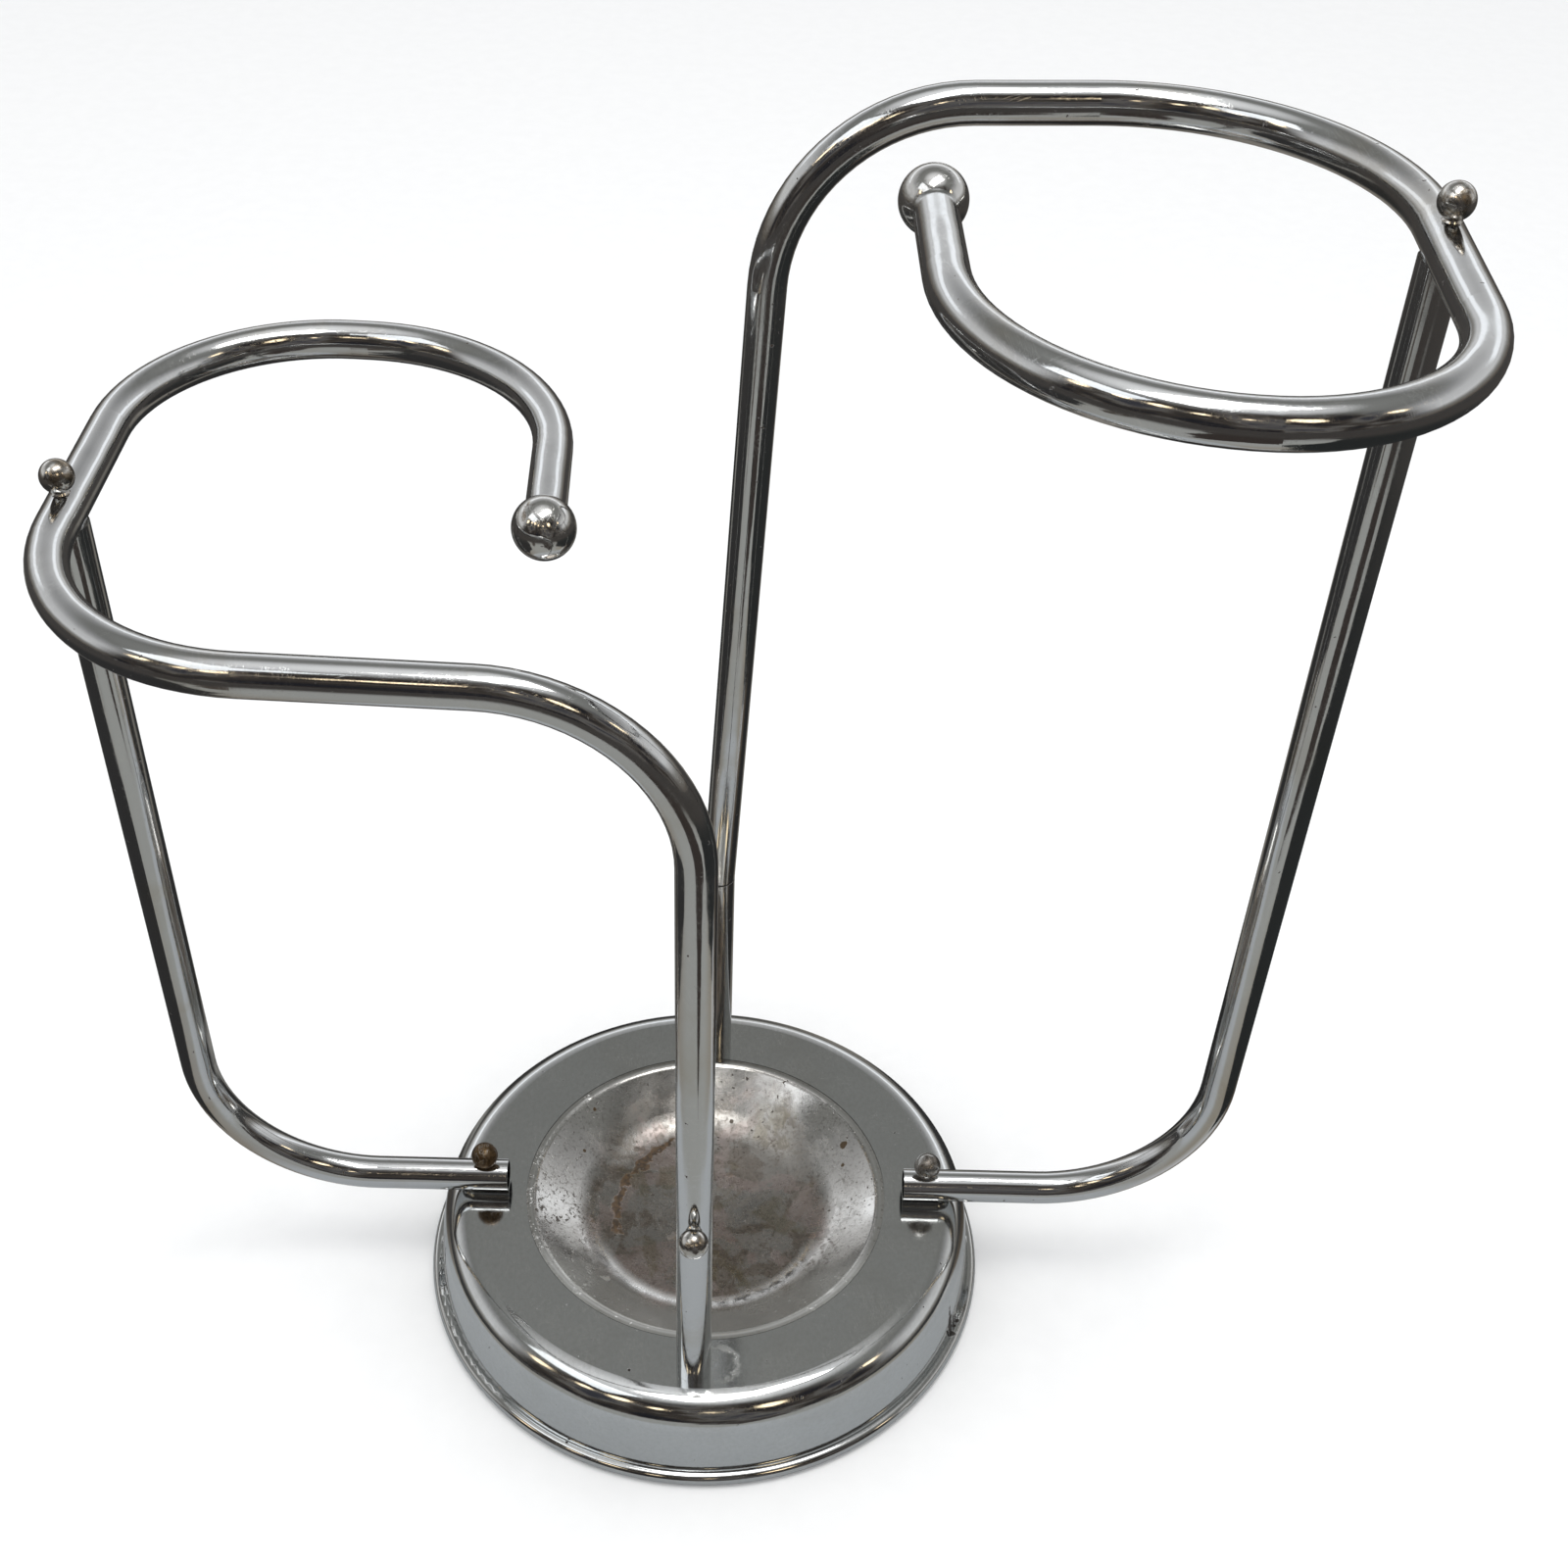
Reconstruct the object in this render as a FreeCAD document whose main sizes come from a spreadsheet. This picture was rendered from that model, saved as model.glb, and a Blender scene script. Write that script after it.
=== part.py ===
import FreeCAD, Part
import math
import os
import Sketcher

# Umbrella stand of bent chromed tube on a round pressed-steel foot.
# Own frame: +Z up, origin at the centre of the foot on the floor. +X points to the tall hook,
# -Y to the side on which the short hook's post stands. All lengths are in millimetres.

V = FreeCAD.Vector
UP = V(0, 0, 1)

doc = FreeCAD.newDocument("umbrella_stand")

# ---------------------------------------------------------------- sizes
# Each row is an alias, its number or formula, and what it means.
SIZES = [
    ("centre", "0", "middle of the foot"),
    ("over_cut", "1", "how far a cutting tool reaches past a face"),
    ("tube_diameter", "16", "outside of every tube, a 5/8 inch furniture tube"),
    ("tube_wall", "1.2", "wall of every tube"),
    ("tube_radius", "=tube_diameter / 2", ""),
    ("bore_radius", "=tube_radius - tube_wall", "inside of every tube"),
    ("slip", "0.08", "radial room between a tube and the rod inside it"),
    ("rod_radius", "=bore_radius - slip", "rods and plugs that stand inside the tubes"),
    ("joint_gap", "0.05", "thin gap left where one piece rests on another"),
    # round foot
    ("foot_radius", "140", "outside of the rolled bead"),
    ("ring_height", "48", "flat top of the foot above the floor"),
    ("gauge", "1.2", "sheet of the foot"),
    ("ring_under", "=ring_height - gauge", ""),
    ("shoulder_radius", "15", "round edge between the flat ring and the skirt"),
    ("shoulder_inner_radius", "=shoulder_radius - gauge", ""),
    ("skirt_top", "130.5", "skirt line where it would meet the ring"),
    ("skirt_top_inner", "=skirt_top - gauge", ""),
    ("bead_radius", "3.5", "rolled bead along the bottom edge"),
    ("bead_circle", "=foot_radius - bead_radius", ""),
    ("bead_hollow", "=bead_radius - gauge", ""),
    ("bead_lift", "0.5", "bead above the floor, because the felt carries the stand"),
    ("bead_height", "=bead_radius + bead_lift", "centre of the bead above the floor"),
    ("skirt_set_in", "1.1", "skirt inside the bead's circle where it runs into the bead"),
    ("skirt_stop", "2.6", "end of the skirt above the bead's centre"),
    ("skirt_foot", "=bead_circle - skirt_set_in", ""),
    ("skirt_foot_inner", "=skirt_foot - gauge", ""),
    ("skirt_foot_height", "=bead_height + skirt_stop", ""),
    # drip bowl and its seat
    ("bowl_rim", "90", "outside of the bowl's rim"),
    ("rim_gap", "0.3", "gap all round the rim"),
    ("seat_outer", "=bowl_rim + rim_gap", ""),
    ("seat_outer_under", "=seat_outer + gauge", ""),
    ("seat_width", "3", "ledge that carries the rim"),
    ("seat_inner", "=seat_outer - seat_width", ""),
    ("bowl_gauge", "1", "sheet of the bowl"),
    ("seat_top", "=ring_height - bowl_gauge - rim_gap", ""),
    ("seat_under", "=seat_top - gauge", ""),
    ("rim_recess", "0.1", "rim below the ring"),
    ("rim_top", "=ring_height - rim_recess", ""),
    ("rim_under", "=rim_top - bowl_gauge", ""),
    ("bowl_brink", "86.4", "where the rim turns down into the wall, inside face"),
    ("bowl_lean", "0.4", "sideways shift of the under face that keeps the sheet even"),
    ("bowl_brink_under", "=bowl_brink + bowl_lean", ""),
    ("bowl_knee", "59", "where the wall turns into the floor"),
    ("bowl_knee_depth", "18", "knee below the ring"),
    ("bowl_depth", "22", "middle of the bowl below the ring"),
    ("bowl_knee_height", "=ring_height - bowl_knee_depth", ""),
    ("bowl_knee_out", "=bowl_knee + bowl_lean", ""),
    ("bowl_knee_under", "=bowl_knee_height - bowl_gauge", ""),
    ("bowl_floor", "=ring_height - bowl_depth", "lowest point inside the bowl"),
    ("bowl_floor_under", "=bowl_floor - bowl_gauge", ""),
    ("bowl_knee_radius", "32", "round turn from wall to floor"),
    ("bowl_knee_radius_under", "=bowl_knee_radius + bowl_gauge", ""),
    ("brink_radius", "5", "round turn from rim to wall"),
    ("brink_radius_under", "=brink_radius - bowl_gauge", ""),
    # inside of the foot
    ("felt_radius", "128", ""),
    ("felt_thick", "2", ""),
    ("plate_radius", "133", "edge held behind the bead"),
    ("plate_thick", "1.5", ""),
    ("plate_bottom", "=felt_thick + joint_gap", ""),
    ("plate_top", "=plate_bottom + plate_thick", ""),
    ("ballast_inner", "62", ""),
    ("ballast_outer", "124", ""),
    ("ballast_thick", "13", ""),
    ("ballast_bottom", "=plate_top + joint_gap", ""),
    ("ballast_top", "=ballast_bottom + ballast_thick", ""),
    ("ballast_edge", "2.5", "round edges of the casting"),
    ("plate_screw_circle", "100", ""),
    ("plate_screw_radius", "2", ""),
    ("plate_screw_depth", "9", ""),
    ("plate_head_radius", "3.9", ""),
    # posts, supports and what holds them
    ("post_offset", "106", "posts from the centre, along Y"),
    ("post_shift", "2.6", "rear post to the right of the middle, front post as far to the left"),
    ("rod_bend", "=2 * tube_diameter", "bend of the rear rod where the tall hook starts to lean"),
    ("extension_height", "118", "lower tube under the tall hook"),
    ("seam_height", "=ring_height + joint_gap + extension_height", "joint in the tall post"),
    ("rod_height", "130", "how far a rod reaches up into a hook tube"),
    ("lock_height", "112", "lock screw above a hook tube's lower end"),
    ("stud_radius", "4", "threaded end of a rod below the ring"),
    ("stud_room", "0.2", "radial room round a stud in the ring"),
    ("stud_hole", "=stud_radius + stud_room", ""),
    ("stud_reach", "11", "thread below the ring"),
    ("rod_seat", "=ring_height + joint_gap", "foot of the posts on the ring"),
    ("rod_top", "=rod_seat + rod_height", ""),
    ("short_lock_z", "=rod_seat + lock_height", ""),
    ("lock_tap_depth", "1.5", "bottom of a lock screw's thread from the rod's axis"),
    ("washer_thick", "1.2", ""),
    ("rod_nut_corner", "7.5", "M8 nut, centre to corner"),
    ("rod_nut_height", "6", ""),
    ("rod_washer_radius", "8", ""),
    ("support_nut_corner", "4.6", "M5 nut, centre to corner"),
    ("support_nut_height", "4", ""),
    ("support_washer_radius", "5.2", ""),
    ("stud_bottom", "=ring_under - stud_reach", ""),
    ("support_bolt_offset", "110", "bolt through a support's inner end, along X"),
    ("support_end_offset", "99", "square-cut inner end of a support"),
    ("support_axis_height", "=ring_height + joint_gap + tube_radius", ""),
    ("support_bend", "78", "bend of a support, on its centre line"),
    ("left_support_reach", "241.4", ""),
    ("right_support_reach", "243.6", ""),
    ("plug_length", "36", "threaded plug in the top of a support"),
    # ball-headed bolts
    ("bolt_ball", "6.5", "radius of a bolt's ball head"),
    ("bolt_shank", "2.5", ""),
    ("bolt_hole", "2.75", "clear hole for a bolt"),
    ("tap_radius", "=bolt_shank + joint_gap", ""),
    ("bolt_collar", "3.6", "small turned collar under the ball"),
    ("bolt_collar_top", "2.7", ""),
    ("bolt_collar_height", "1.4", ""),
    ("bolt_ball_height", "6.6", "centre of the ball above the tube it sits on"),
    ("support_bolt_reach", "7", "thread below the ring"),
    ("top_bolt_reach", "22", "thread below the hook tube"),
    ("lock_screw_rest", "2", "end of a lock screw from the rod's axis"),
    ("support_bolt_length", "=tube_diameter + 2 * joint_gap + gauge + support_bolt_reach", ""),
    ("top_bolt_length", "=tube_diameter + top_bolt_reach", ""),
    ("lock_screw_length", "=tube_radius - lock_screw_rest", ""),
    # hooks
    ("hook_bend", "76", "bend from post to loop, on the centre line"),
    ("short_loop_height", "435", ""),
    ("tall_loop_height", "=short_loop_height + extension_height", ""),
    ("saddle_drop", "5", "horns of a support's saddle below the loop's centre line"),
    ("short_support_top", "=short_loop_height - saddle_drop", ""),
    ("tall_support_top", "=tall_loop_height - saddle_drop", ""),
    ("short_plug_bottom", "=short_loop_height - tube_radius - plug_length", ""),
    ("tall_plug_bottom", "=tall_loop_height - tube_radius - plug_length", ""),
    ("plug_floor", "8", "solid metal under the thread in a plug"),
    ("short_tap_bottom", "=short_plug_bottom + plug_floor", ""),
    ("tall_tap_bottom", "=tall_plug_bottom + plug_floor", ""),
    ("tall_hook_lean", "19", "how far the tall hook leans outwards at loop height"),
    ("short_far_front_x", "243", ""),
    ("short_far_front_y", "96", ""),
    ("short_far_front_bend", "87", ""),
    ("short_far_rear_x", "239", ""),
    ("short_far_rear_y", "-145", ""),
    ("short_far_rear_bend", "80", ""),
    ("short_near_x", "67", ""),
    ("short_near_y", "-136", ""),
    ("short_near_bend", "89", ""),
    ("short_ball_x", "63", ""),
    ("short_ball_y", "3", ""),
    ("tall_far_front_x", "247.5", ""),
    ("tall_far_front_y", "123", ""),
    ("tall_far_front_bend", "97", ""),
    ("tall_far_rear_x", "239.5", ""),
    ("tall_far_rear_y", "-127", ""),
    ("tall_far_rear_bend", "75", ""),
    ("tall_near_x", "76", ""),
    ("tall_near_y", "-123", ""),
    ("tall_near_bend", "92", ""),
    ("tall_ball_x", "73.5", ""),
    ("tall_ball_y", "23", ""),
    ("finial_radius", "12.25", "ball on the free end of a hook"),
    ("finial_flat", "=sqrt(finial_radius ^ 2 - tube_radius ^ 2)", "seat of the tube on the ball"),
    ("stem_length", "20", "stem inside the tube"),
]

sheet = doc.addObject("Spreadsheet::Sheet", "Sizes")
for line, (alias, content, note) in enumerate(SIZES, start=1):
    sheet.set(f"A{line}", alias)
    sheet.set(f"B{line}", content)
    sheet.set(f"C{line}", note)
    sheet.setAlias(f"B{line}", alias)
doc.recompute()


def size(alias):
    """Value of a cell, in millimetres."""
    return float(sheet.get(alias))


def bind(item, prop, expression):
    """Tie a property to the sheet. Names in braces are cell aliases."""
    item.setExpression(prop, expression.replace("{", "Sizes.").replace("}", ""))


# ---------------------------------------------------------------- sketches
def plane(body, role):
    """Origin plane or axis of a body."""
    for feature in body.Origin.OriginFeatures:
        if feature.Role == role:
            return feature
    raise ValueError(role)


def new_body(name):
    body = doc.addObject("PartDesign::Body", name)
    body.Label = name
    return body


def new_sketch(body, name, role):
    sketch = body.newObject("Sketcher::SketchObject", name)
    sketch.AttachmentSupport = (plane(body, role), [""])
    sketch.MapMode = "FlatFace"
    return sketch


def pin_coordinate(sketch, kind, geo, pos, alias, name):
    """Hold one coordinate of a point at a cell's value, or on the axis where the alias is None."""
    if alias is None:
        axis = -2 if kind == "DistanceX" else -1
        sketch.addConstraint(Sketcher.Constraint("PointOnObject", geo, pos, axis))
        return
    index = sketch.addConstraint(Sketcher.Constraint(kind, -1, 1, geo, pos, size(alias)))
    sketch.renameConstraint(index, name)
    sketch.setExpression(f"Constraints.{name}", f"Sizes.{alias}")


def corner_arc(before, corner, after, radius):
    """Tangent points and arc of a rounded corner, with the sense in which it turns."""
    back = (before - corner).normalize()
    on = (after - corner).normalize()
    half = back.getAngle(on) / 2
    first = corner + back * (radius / math.tan(half))
    last = corner + on * (radius / math.tan(half))
    centre = corner + (back + on).normalize() * (radius / math.sin(half))
    left_turn = (corner - before).cross(after - corner).z > 0
    start, end = (first, last) if left_turn else (last, first)
    angles = [math.atan2(p.y - centre.y, p.x - centre.x) for p in (start, end)]
    if angles[1] < angles[0]:
        angles[1] += 2 * math.pi
    arc = Part.ArcOfCircle(Part.Circle(centre, UP, radius), angles[0], angles[1])
    return first, last, arc, left_turn


def outline(sketch, corners, closed=True):
    """Outline through corners given as (x alias, y alias, corner radius alias or None)."""
    points = [V(size(x) if x else 0, size(y) if y else 0, 0) for x, y, _ in corners]
    count = len(corners)
    starts = list(points)
    ends = list(points)
    arcs = {}
    for i, (_, _, radius) in enumerate(corners):
        if radius:
            first, last, arc, left_turn = corner_arc(
                points[i - 1], points[i], points[(i + 1) % count], size(radius))
            ends[i] = first
            starts[i] = last
            arcs[i] = (arc, left_turn)
    sides = []
    for i in range(count if closed else count - 1):
        line = Part.LineSegment(starts[i], ends[(i + 1) % count])
        sides.append(sketch.addGeometry(line, False))
    for i, (x, y, radius) in enumerate(corners):
        into = sides[i - 1]
        out = sides[i] if i < len(sides) else None
        if radius:
            marker = sketch.addGeometry(Part.Point(points[i]), True)
            arc, left_turn = arcs[i]
            bend = sketch.addGeometry(arc, False)
            head, tail = (1, 2) if left_turn else (2, 1)
            sketch.addConstraint(Sketcher.Constraint("Tangent", into, 2, bend, head))
            sketch.addConstraint(Sketcher.Constraint("Tangent", bend, tail, out, 1))
            sketch.addConstraint(Sketcher.Constraint("PointOnObject", marker, 1, into))
            sketch.addConstraint(Sketcher.Constraint("PointOnObject", marker, 1, out))
            index = sketch.addConstraint(Sketcher.Constraint("Radius", bend, size(radius)))
            sketch.renameConstraint(index, f"bend_{i}")
            sketch.setExpression(f"Constraints.bend_{i}", f"Sizes.{radius}")
            geo, pos = marker, 1
        elif out is None:
            geo, pos = into, 2
        else:
            if closed or i:
                sketch.addConstraint(Sketcher.Constraint("Coincident", into, 2, out, 1))
            geo, pos = out, 1
        pin_coordinate(sketch, "DistanceX", geo, pos, x, f"across_{i}")
        pin_coordinate(sketch, "DistanceY", geo, pos, y, f"up_{i}")


def circle(sketch, x, y, radius, name):
    """Circle with its centre and radius tied to cells; x and y may be None for an axis."""
    centre = V(size(x) if x else 0, size(y) if y else 0, 0)
    geo = sketch.addGeometry(Part.Circle(centre, UP, size(radius)), False)
    if x is None and y is None:
        sketch.addConstraint(Sketcher.Constraint("Coincident", geo, 3, -1, 1))
    else:
        pin_coordinate(sketch, "DistanceX", geo, 3, x, f"{name}_across")
        pin_coordinate(sketch, "DistanceY", geo, 3, y, f"{name}_up")
    index = sketch.addConstraint(Sketcher.Constraint("Radius", geo, size(radius)))
    sketch.renameConstraint(index, f"{name}_radius")
    sketch.setExpression(f"Constraints.{name}_radius", f"Sizes.{radius}")


def revolve(body, sketch, name):
    turned = body.newObject("PartDesign::Revolution", name)
    turned.Profile = sketch
    turned.ReferenceAxis = (sketch, ["V_Axis"])
    turned.Angle = 360
    sketch.Visibility = False
    return turned


def turned_body(name, corners):
    """Body turned about its own Z axis from an outline drawn in the XZ plane."""
    body = new_body(name)
    sketch = new_sketch(body, f"{name}_outline", "XZ_Plane")
    outline(sketch, corners)
    revolve(body, sketch, f"{name}_turned")
    return body


# ---------------------------------------------------------------- bent tubes
def bent_wire(points, radii):
    """Centre line through points, with a round bend of the given radius at each inner point."""
    edges = []
    at = points[0]
    for before, corner, after, radius in zip(points, points[1:], points[2:], radii):
        back = (before - corner).normalize()
        on = (after - corner).normalize()
        half = back.getAngle(on) / 2
        first = corner + back * (radius / math.tan(half))
        last = corner + on * (radius / math.tan(half))
        inward = (back + on).normalize()
        middle = corner + inward * (radius / math.sin(half) - radius)
        edges.append(Part.LineSegment(at, first).toShape())
        edges.append(Part.Arc(first, middle, last).toShape())
        at = last
    edges.append(Part.LineSegment(at, points[-1]).toShape())
    return Part.Wire(edges)


def rod_along(wire, radius):
    """Solid of round section that follows a centre line."""
    start = wire.OrderedVertexes[0].Point
    heading = wire.OrderedEdges[0].tangentAt(wire.OrderedEdges[0].FirstParameter)
    section = Part.Wire(Part.Circle(start, heading, radius).toShape())
    return wire.makePipe(Part.Face(section))


# ---------------------------------------------------------------- round foot
foot = turned_body("base_shell", [
    ("seat_inner", "seat_top", None),
    ("seat_outer", "seat_top", None),
    ("seat_outer", "ring_height", None),
    ("skirt_top", "ring_height", "shoulder_radius"),
    ("skirt_foot", "skirt_foot_height", None),
    ("skirt_foot_inner", "skirt_foot_height", None),
    ("skirt_top_inner", "ring_under", "shoulder_inner_radius"),
    ("seat_outer_under", "ring_under", None),
    ("seat_outer_under", "seat_under", None),
    ("seat_inner", "seat_under", None),
])

bead_sketch = new_sketch(foot, "bead_outline", "XZ_Plane")
circle(bead_sketch, "bead_circle", "bead_height", "bead_radius", "outside")
circle(bead_sketch, "bead_circle", "bead_height", "bead_hollow", "hollow")
revolve(foot, bead_sketch, "bead_turned")


def drilled(body, name, holes, top, depth):
    """Holes straight down into a body from a height; holes are (x, y, radius) aliases."""
    sketch = new_sketch(body, f"{name}_centres", "XY_Plane")
    bind(sketch, "AttachmentOffset.Base.z", top)
    for number, (x, y, radius) in enumerate(holes):
        circle(sketch, x, y, radius, f"hole_{number}")
    pocket = body.newObject("PartDesign::Pocket", name)
    pocket.Profile = sketch
    bind(pocket, "Length", depth)
    sketch.Visibility = False
    return pocket


def mirrored(body, pocket, name):
    """Repeat a cut half a turn further round the body's axis."""
    pattern = body.newObject("PartDesign::PolarPattern", name)
    pattern.Originals = [pocket]
    pattern.Axis = (plane(body, "Z_Axis"), [""])
    pattern.Angle = 360
    pattern.Occurrences = 2
    body.Tip = pattern
    return pattern


ring_holes = drilled(foot, "ring_holes", [
    ("post_shift", "post_offset", "stud_hole"),
    ("support_bolt_offset", None, "bolt_hole"),
], "{ring_height} + {over_cut}", "{gauge} + 3 * {over_cut}")
mirrored(foot, ring_holes, "ring_holes_all")

bowl = turned_body("drip_bowl", [
    (None, "bowl_floor", None),
    (None, "bowl_floor_under", None),
    ("bowl_knee_out", "bowl_knee_under", "bowl_knee_radius_under"),
    ("bowl_brink_under", "rim_under", "brink_radius_under"),
    ("bowl_rim", "rim_under", None),
    ("bowl_rim", "rim_top", None),
    ("bowl_brink", "rim_top", "brink_radius"),
    ("bowl_knee", "bowl_knee_height", "bowl_knee_radius"),
])
ballast = turned_body("ballast_blank", [
    ("ballast_inner", "ballast_bottom", "ballast_edge"),
    ("ballast_outer", "ballast_bottom", "ballast_edge"),
    ("ballast_outer", "ballast_top", "ballast_edge"),
    ("ballast_inner", "ballast_top", "ballast_edge"),
])

plate = turned_body("plate_blank", [
    (None, "plate_bottom", None),
    ("plate_radius", "plate_bottom", None),
    ("plate_radius", "plate_top", None),
    (None, "plate_top", None),
])

felt = turned_body("felt_pad", [
    (None, None, None),
    ("felt_radius", None, None),
    ("felt_radius", "felt_thick", None),
    (None, "felt_thick", None),
])


def primitive(kind, name, **bound):
    """Part primitive with properties tied to the sheet; positions are given as x, y and z."""
    item = doc.addObject(kind, name)
    for key, expression in bound.items():
        prop = f"Placement.Base.{key}" if key in ("x", "y", "z") else key
        bind(item, prop, expression)
    return item


def joined(name, pieces):
    fused = doc.addObject("Part::MultiFuse", name)
    fused.Shapes = pieces
    return fused


def cut(name, base, tool):
    rest = doc.addObject("Part::Cut", name)
    rest.Base = base
    rest.Tool = tool
    return rest


def group(name, pieces):
    """Several like pieces kept as one node."""
    together = doc.addObject("Part::Compound", name)
    together.Links = pieces
    together.Label = name
    return together


# Three countersunk screws hold the ballast to the bottom plate.
SCREW_COUNT = 3
screws = []
screw_tools = []
for number in range(SCREW_COUNT):
    turn = 360 / SCREW_COUNT * number + 90
    across = "{plate_screw_circle} * cos(%g deg)" % turn
    along = "{plate_screw_circle} * sin(%g deg)" % turn
    for kind, room, store in (("screw", "0", screws), ("screw_hole", "{joint_gap}", screw_tools)):
        head = primitive("Part::Cone", f"{kind}_head_{number}", x=across, y=along,
                         z="{plate_bottom}", Radius1="{plate_head_radius} + " + room,
                         Radius2="{plate_screw_radius} + " + room, Height="{plate_thick}")
        shank = primitive("Part::Cylinder", f"{kind}_shank_{number}", x=across, y=along,
                          z="{plate_bottom}", Radius="{plate_screw_radius} + " + room,
                          Height="{plate_thick} + {plate_screw_depth} + " + room)
        store.append(joined(f"{kind}_{number}", [head, shank]))
screw_holes = joined("screw_holes", screw_tools)
plate_screws = group("plate_screws", screws)
ballast_ring = cut("ballast_ring", ballast, screw_holes)
bottom_plate = cut("bottom_plate", plate, screw_holes)


# Hexagon nuts and washers under the ring: on the two rods, and on the two support bolts.
def nuts_and_washers(kind, x, y, stud, across_corners, nut_height, washer_radius, washer_thick):
    """A pair of nuts and a pair of washers at a point and at the point opposite."""
    nuts = []
    washers = []
    for side, sign in (("plus", ""), ("minus", "-")):
        spot = {"x": f"{sign}({x})", "y": f"{sign}({y})"}
        washer_z = "{ring_under} - {joint_gap} - " + washer_thick
        nut_z = f"{washer_z} - {{joint_gap}} - {nut_height}"
        bore = f"{stud} + {{joint_gap}}"
        hexagon = primitive("Part::Prism", f"{kind}_hexagon_{side}", z=nut_z,
                            Circumradius=across_corners, Height=nut_height, **spot)
        hexagon.Polygon = 6
        nut_bore = primitive("Part::Cylinder", f"{kind}_nut_bore_{side}", z=nut_z,
                             Radius=bore, Height=nut_height, **spot)
        nuts.append(cut(f"{kind}_nut_{side}", hexagon, nut_bore))
        disc = primitive("Part::Cylinder", f"{kind}_disc_{side}", z=washer_z,
                         Radius=washer_radius, Height=washer_thick, **spot)
        disc_bore = primitive("Part::Cylinder", f"{kind}_disc_bore_{side}", z=washer_z,
                              Radius=bore, Height=washer_thick, **spot)
        washers.append(cut(f"{kind}_washer_{side}", disc, disc_bore))
    return group(f"{kind}_nuts", nuts), group(f"{kind}_washers", washers)


rod_nuts, rod_washers = nuts_and_washers(
    "rod", "{post_shift}", "{post_offset}", "{stud_radius}",
    "{rod_nut_corner}", "{rod_nut_height}", "{rod_washer_radius}", "{washer_thick}")
support_nuts, support_washers = nuts_and_washers(
    "support", "{support_bolt_offset}", "{centre}", "{bolt_shank}",
    "{support_nut_corner}", "{support_nut_height}", "{support_washer_radius}", "{washer_thick}")


# ---------------------------------------------------------------- hooks and posts
HALF_TURN = FreeCAD.Placement(V(0, 0, 0), FreeCAD.Rotation(UP, 180))
post_x = size("post_shift")
post_y = size("post_offset")
tube_r = size("tube_radius")
seat_z = size("rod_seat")
seam_z = size("seam_height")


def keep(name, shape, placement=None):
    """Document object that holds a shape made in code."""
    item = doc.addObject("Part::Feature", name)
    item.Shape = shape
    item.Label = name
    if placement:
        item.Placement = placement
    return item


def loop_points(kind, start, post_top):
    """Corners of a hook's centre line, from its lower end to the middle of its ball."""
    height = size(f"{kind}_loop_height")
    corners = [start, V(post_top, post_y, height)]
    for spot in ("far_front", "far_rear", "near", "ball"):
        corners.append(V(size(f"{kind}_{spot}_x"), size(f"{kind}_{spot}_y"), height))
    return corners


def cross_drill(at, direction, radius, length):
    return Part.makeCylinder(radius, length, at, direction)


def hook(kind, start, post_top, lock_at):
    """Bent hook tube, the solid space it fills, and the direction of its free end."""
    points = loop_points(kind, start, post_top)
    ball = points[-1]
    heading = (ball - points[-2]).normalize()
    points[-1] = ball - heading * (size("finial_flat") + size("joint_gap"))
    radii = [size("hook_bend")]
    radii += [size(f"{kind}_{spot}_bend") for spot in ("far_front", "far_rear", "near")]
    spine = bent_wire(points, radii)
    tube = rod_along(spine, tube_r).cut(rod_along(spine, size("bore_radius")))
    support_x = size("left_support_reach" if kind == "short" else "right_support_reach")
    bolt_hole = cross_drill(V(support_x, 0, points[1].z - 2 * tube_r), UP,
                            size("bolt_hole"), 4 * tube_r)
    lock_hole = cross_drill(lock_at, V(0, 1, 0), size("bolt_hole"), 2 * tube_r)
    tube = tube.cut(bolt_hole).cut(lock_hole)
    envelope = rod_along(spine, tube_r + size("joint_gap"))
    return tube, envelope, heading


# The short hook stands on the ring. The tall one stands on a lower tube and leans outwards a little.
short_start = V(post_x, post_y, seat_z)
short_lock = V(post_x, post_y, seat_z + size("lock_height"))
short_tube, short_envelope, short_heading = hook("short", short_start, post_x, short_lock)
short_hook_tube = keep("short_hook_tube", short_tube, HALF_TURN)

seam = V(post_x, post_y, seam_z)
lean_top = V(post_x + size("tall_hook_lean"), post_y, size("tall_loop_height"))
lean_axis = (lean_top - seam).normalize()
tall_start = seam + lean_axis * (tube_r * lean_axis.x + size("joint_gap"))
lock_height = size("lock_height")
tall_lock = seam + lean_axis * (lock_height / lean_axis.z)
tall_tube, tall_envelope, tall_heading = hook("tall", tall_start, lean_top.x, tall_lock)
tall_hook_tube = keep("tall_hook_tube", tall_tube)

extension = turned_body("tall_post_extension", [
    ("bore_radius", "rod_seat", None),
    ("tube_radius", "rod_seat", None),
    ("tube_radius", "seam_height", None),
    ("bore_radius", "seam_height", None),
])
bind(extension, "Placement.Base.x", "{post_shift}")
bind(extension, "Placement.Base.y", "{post_offset}")

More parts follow.
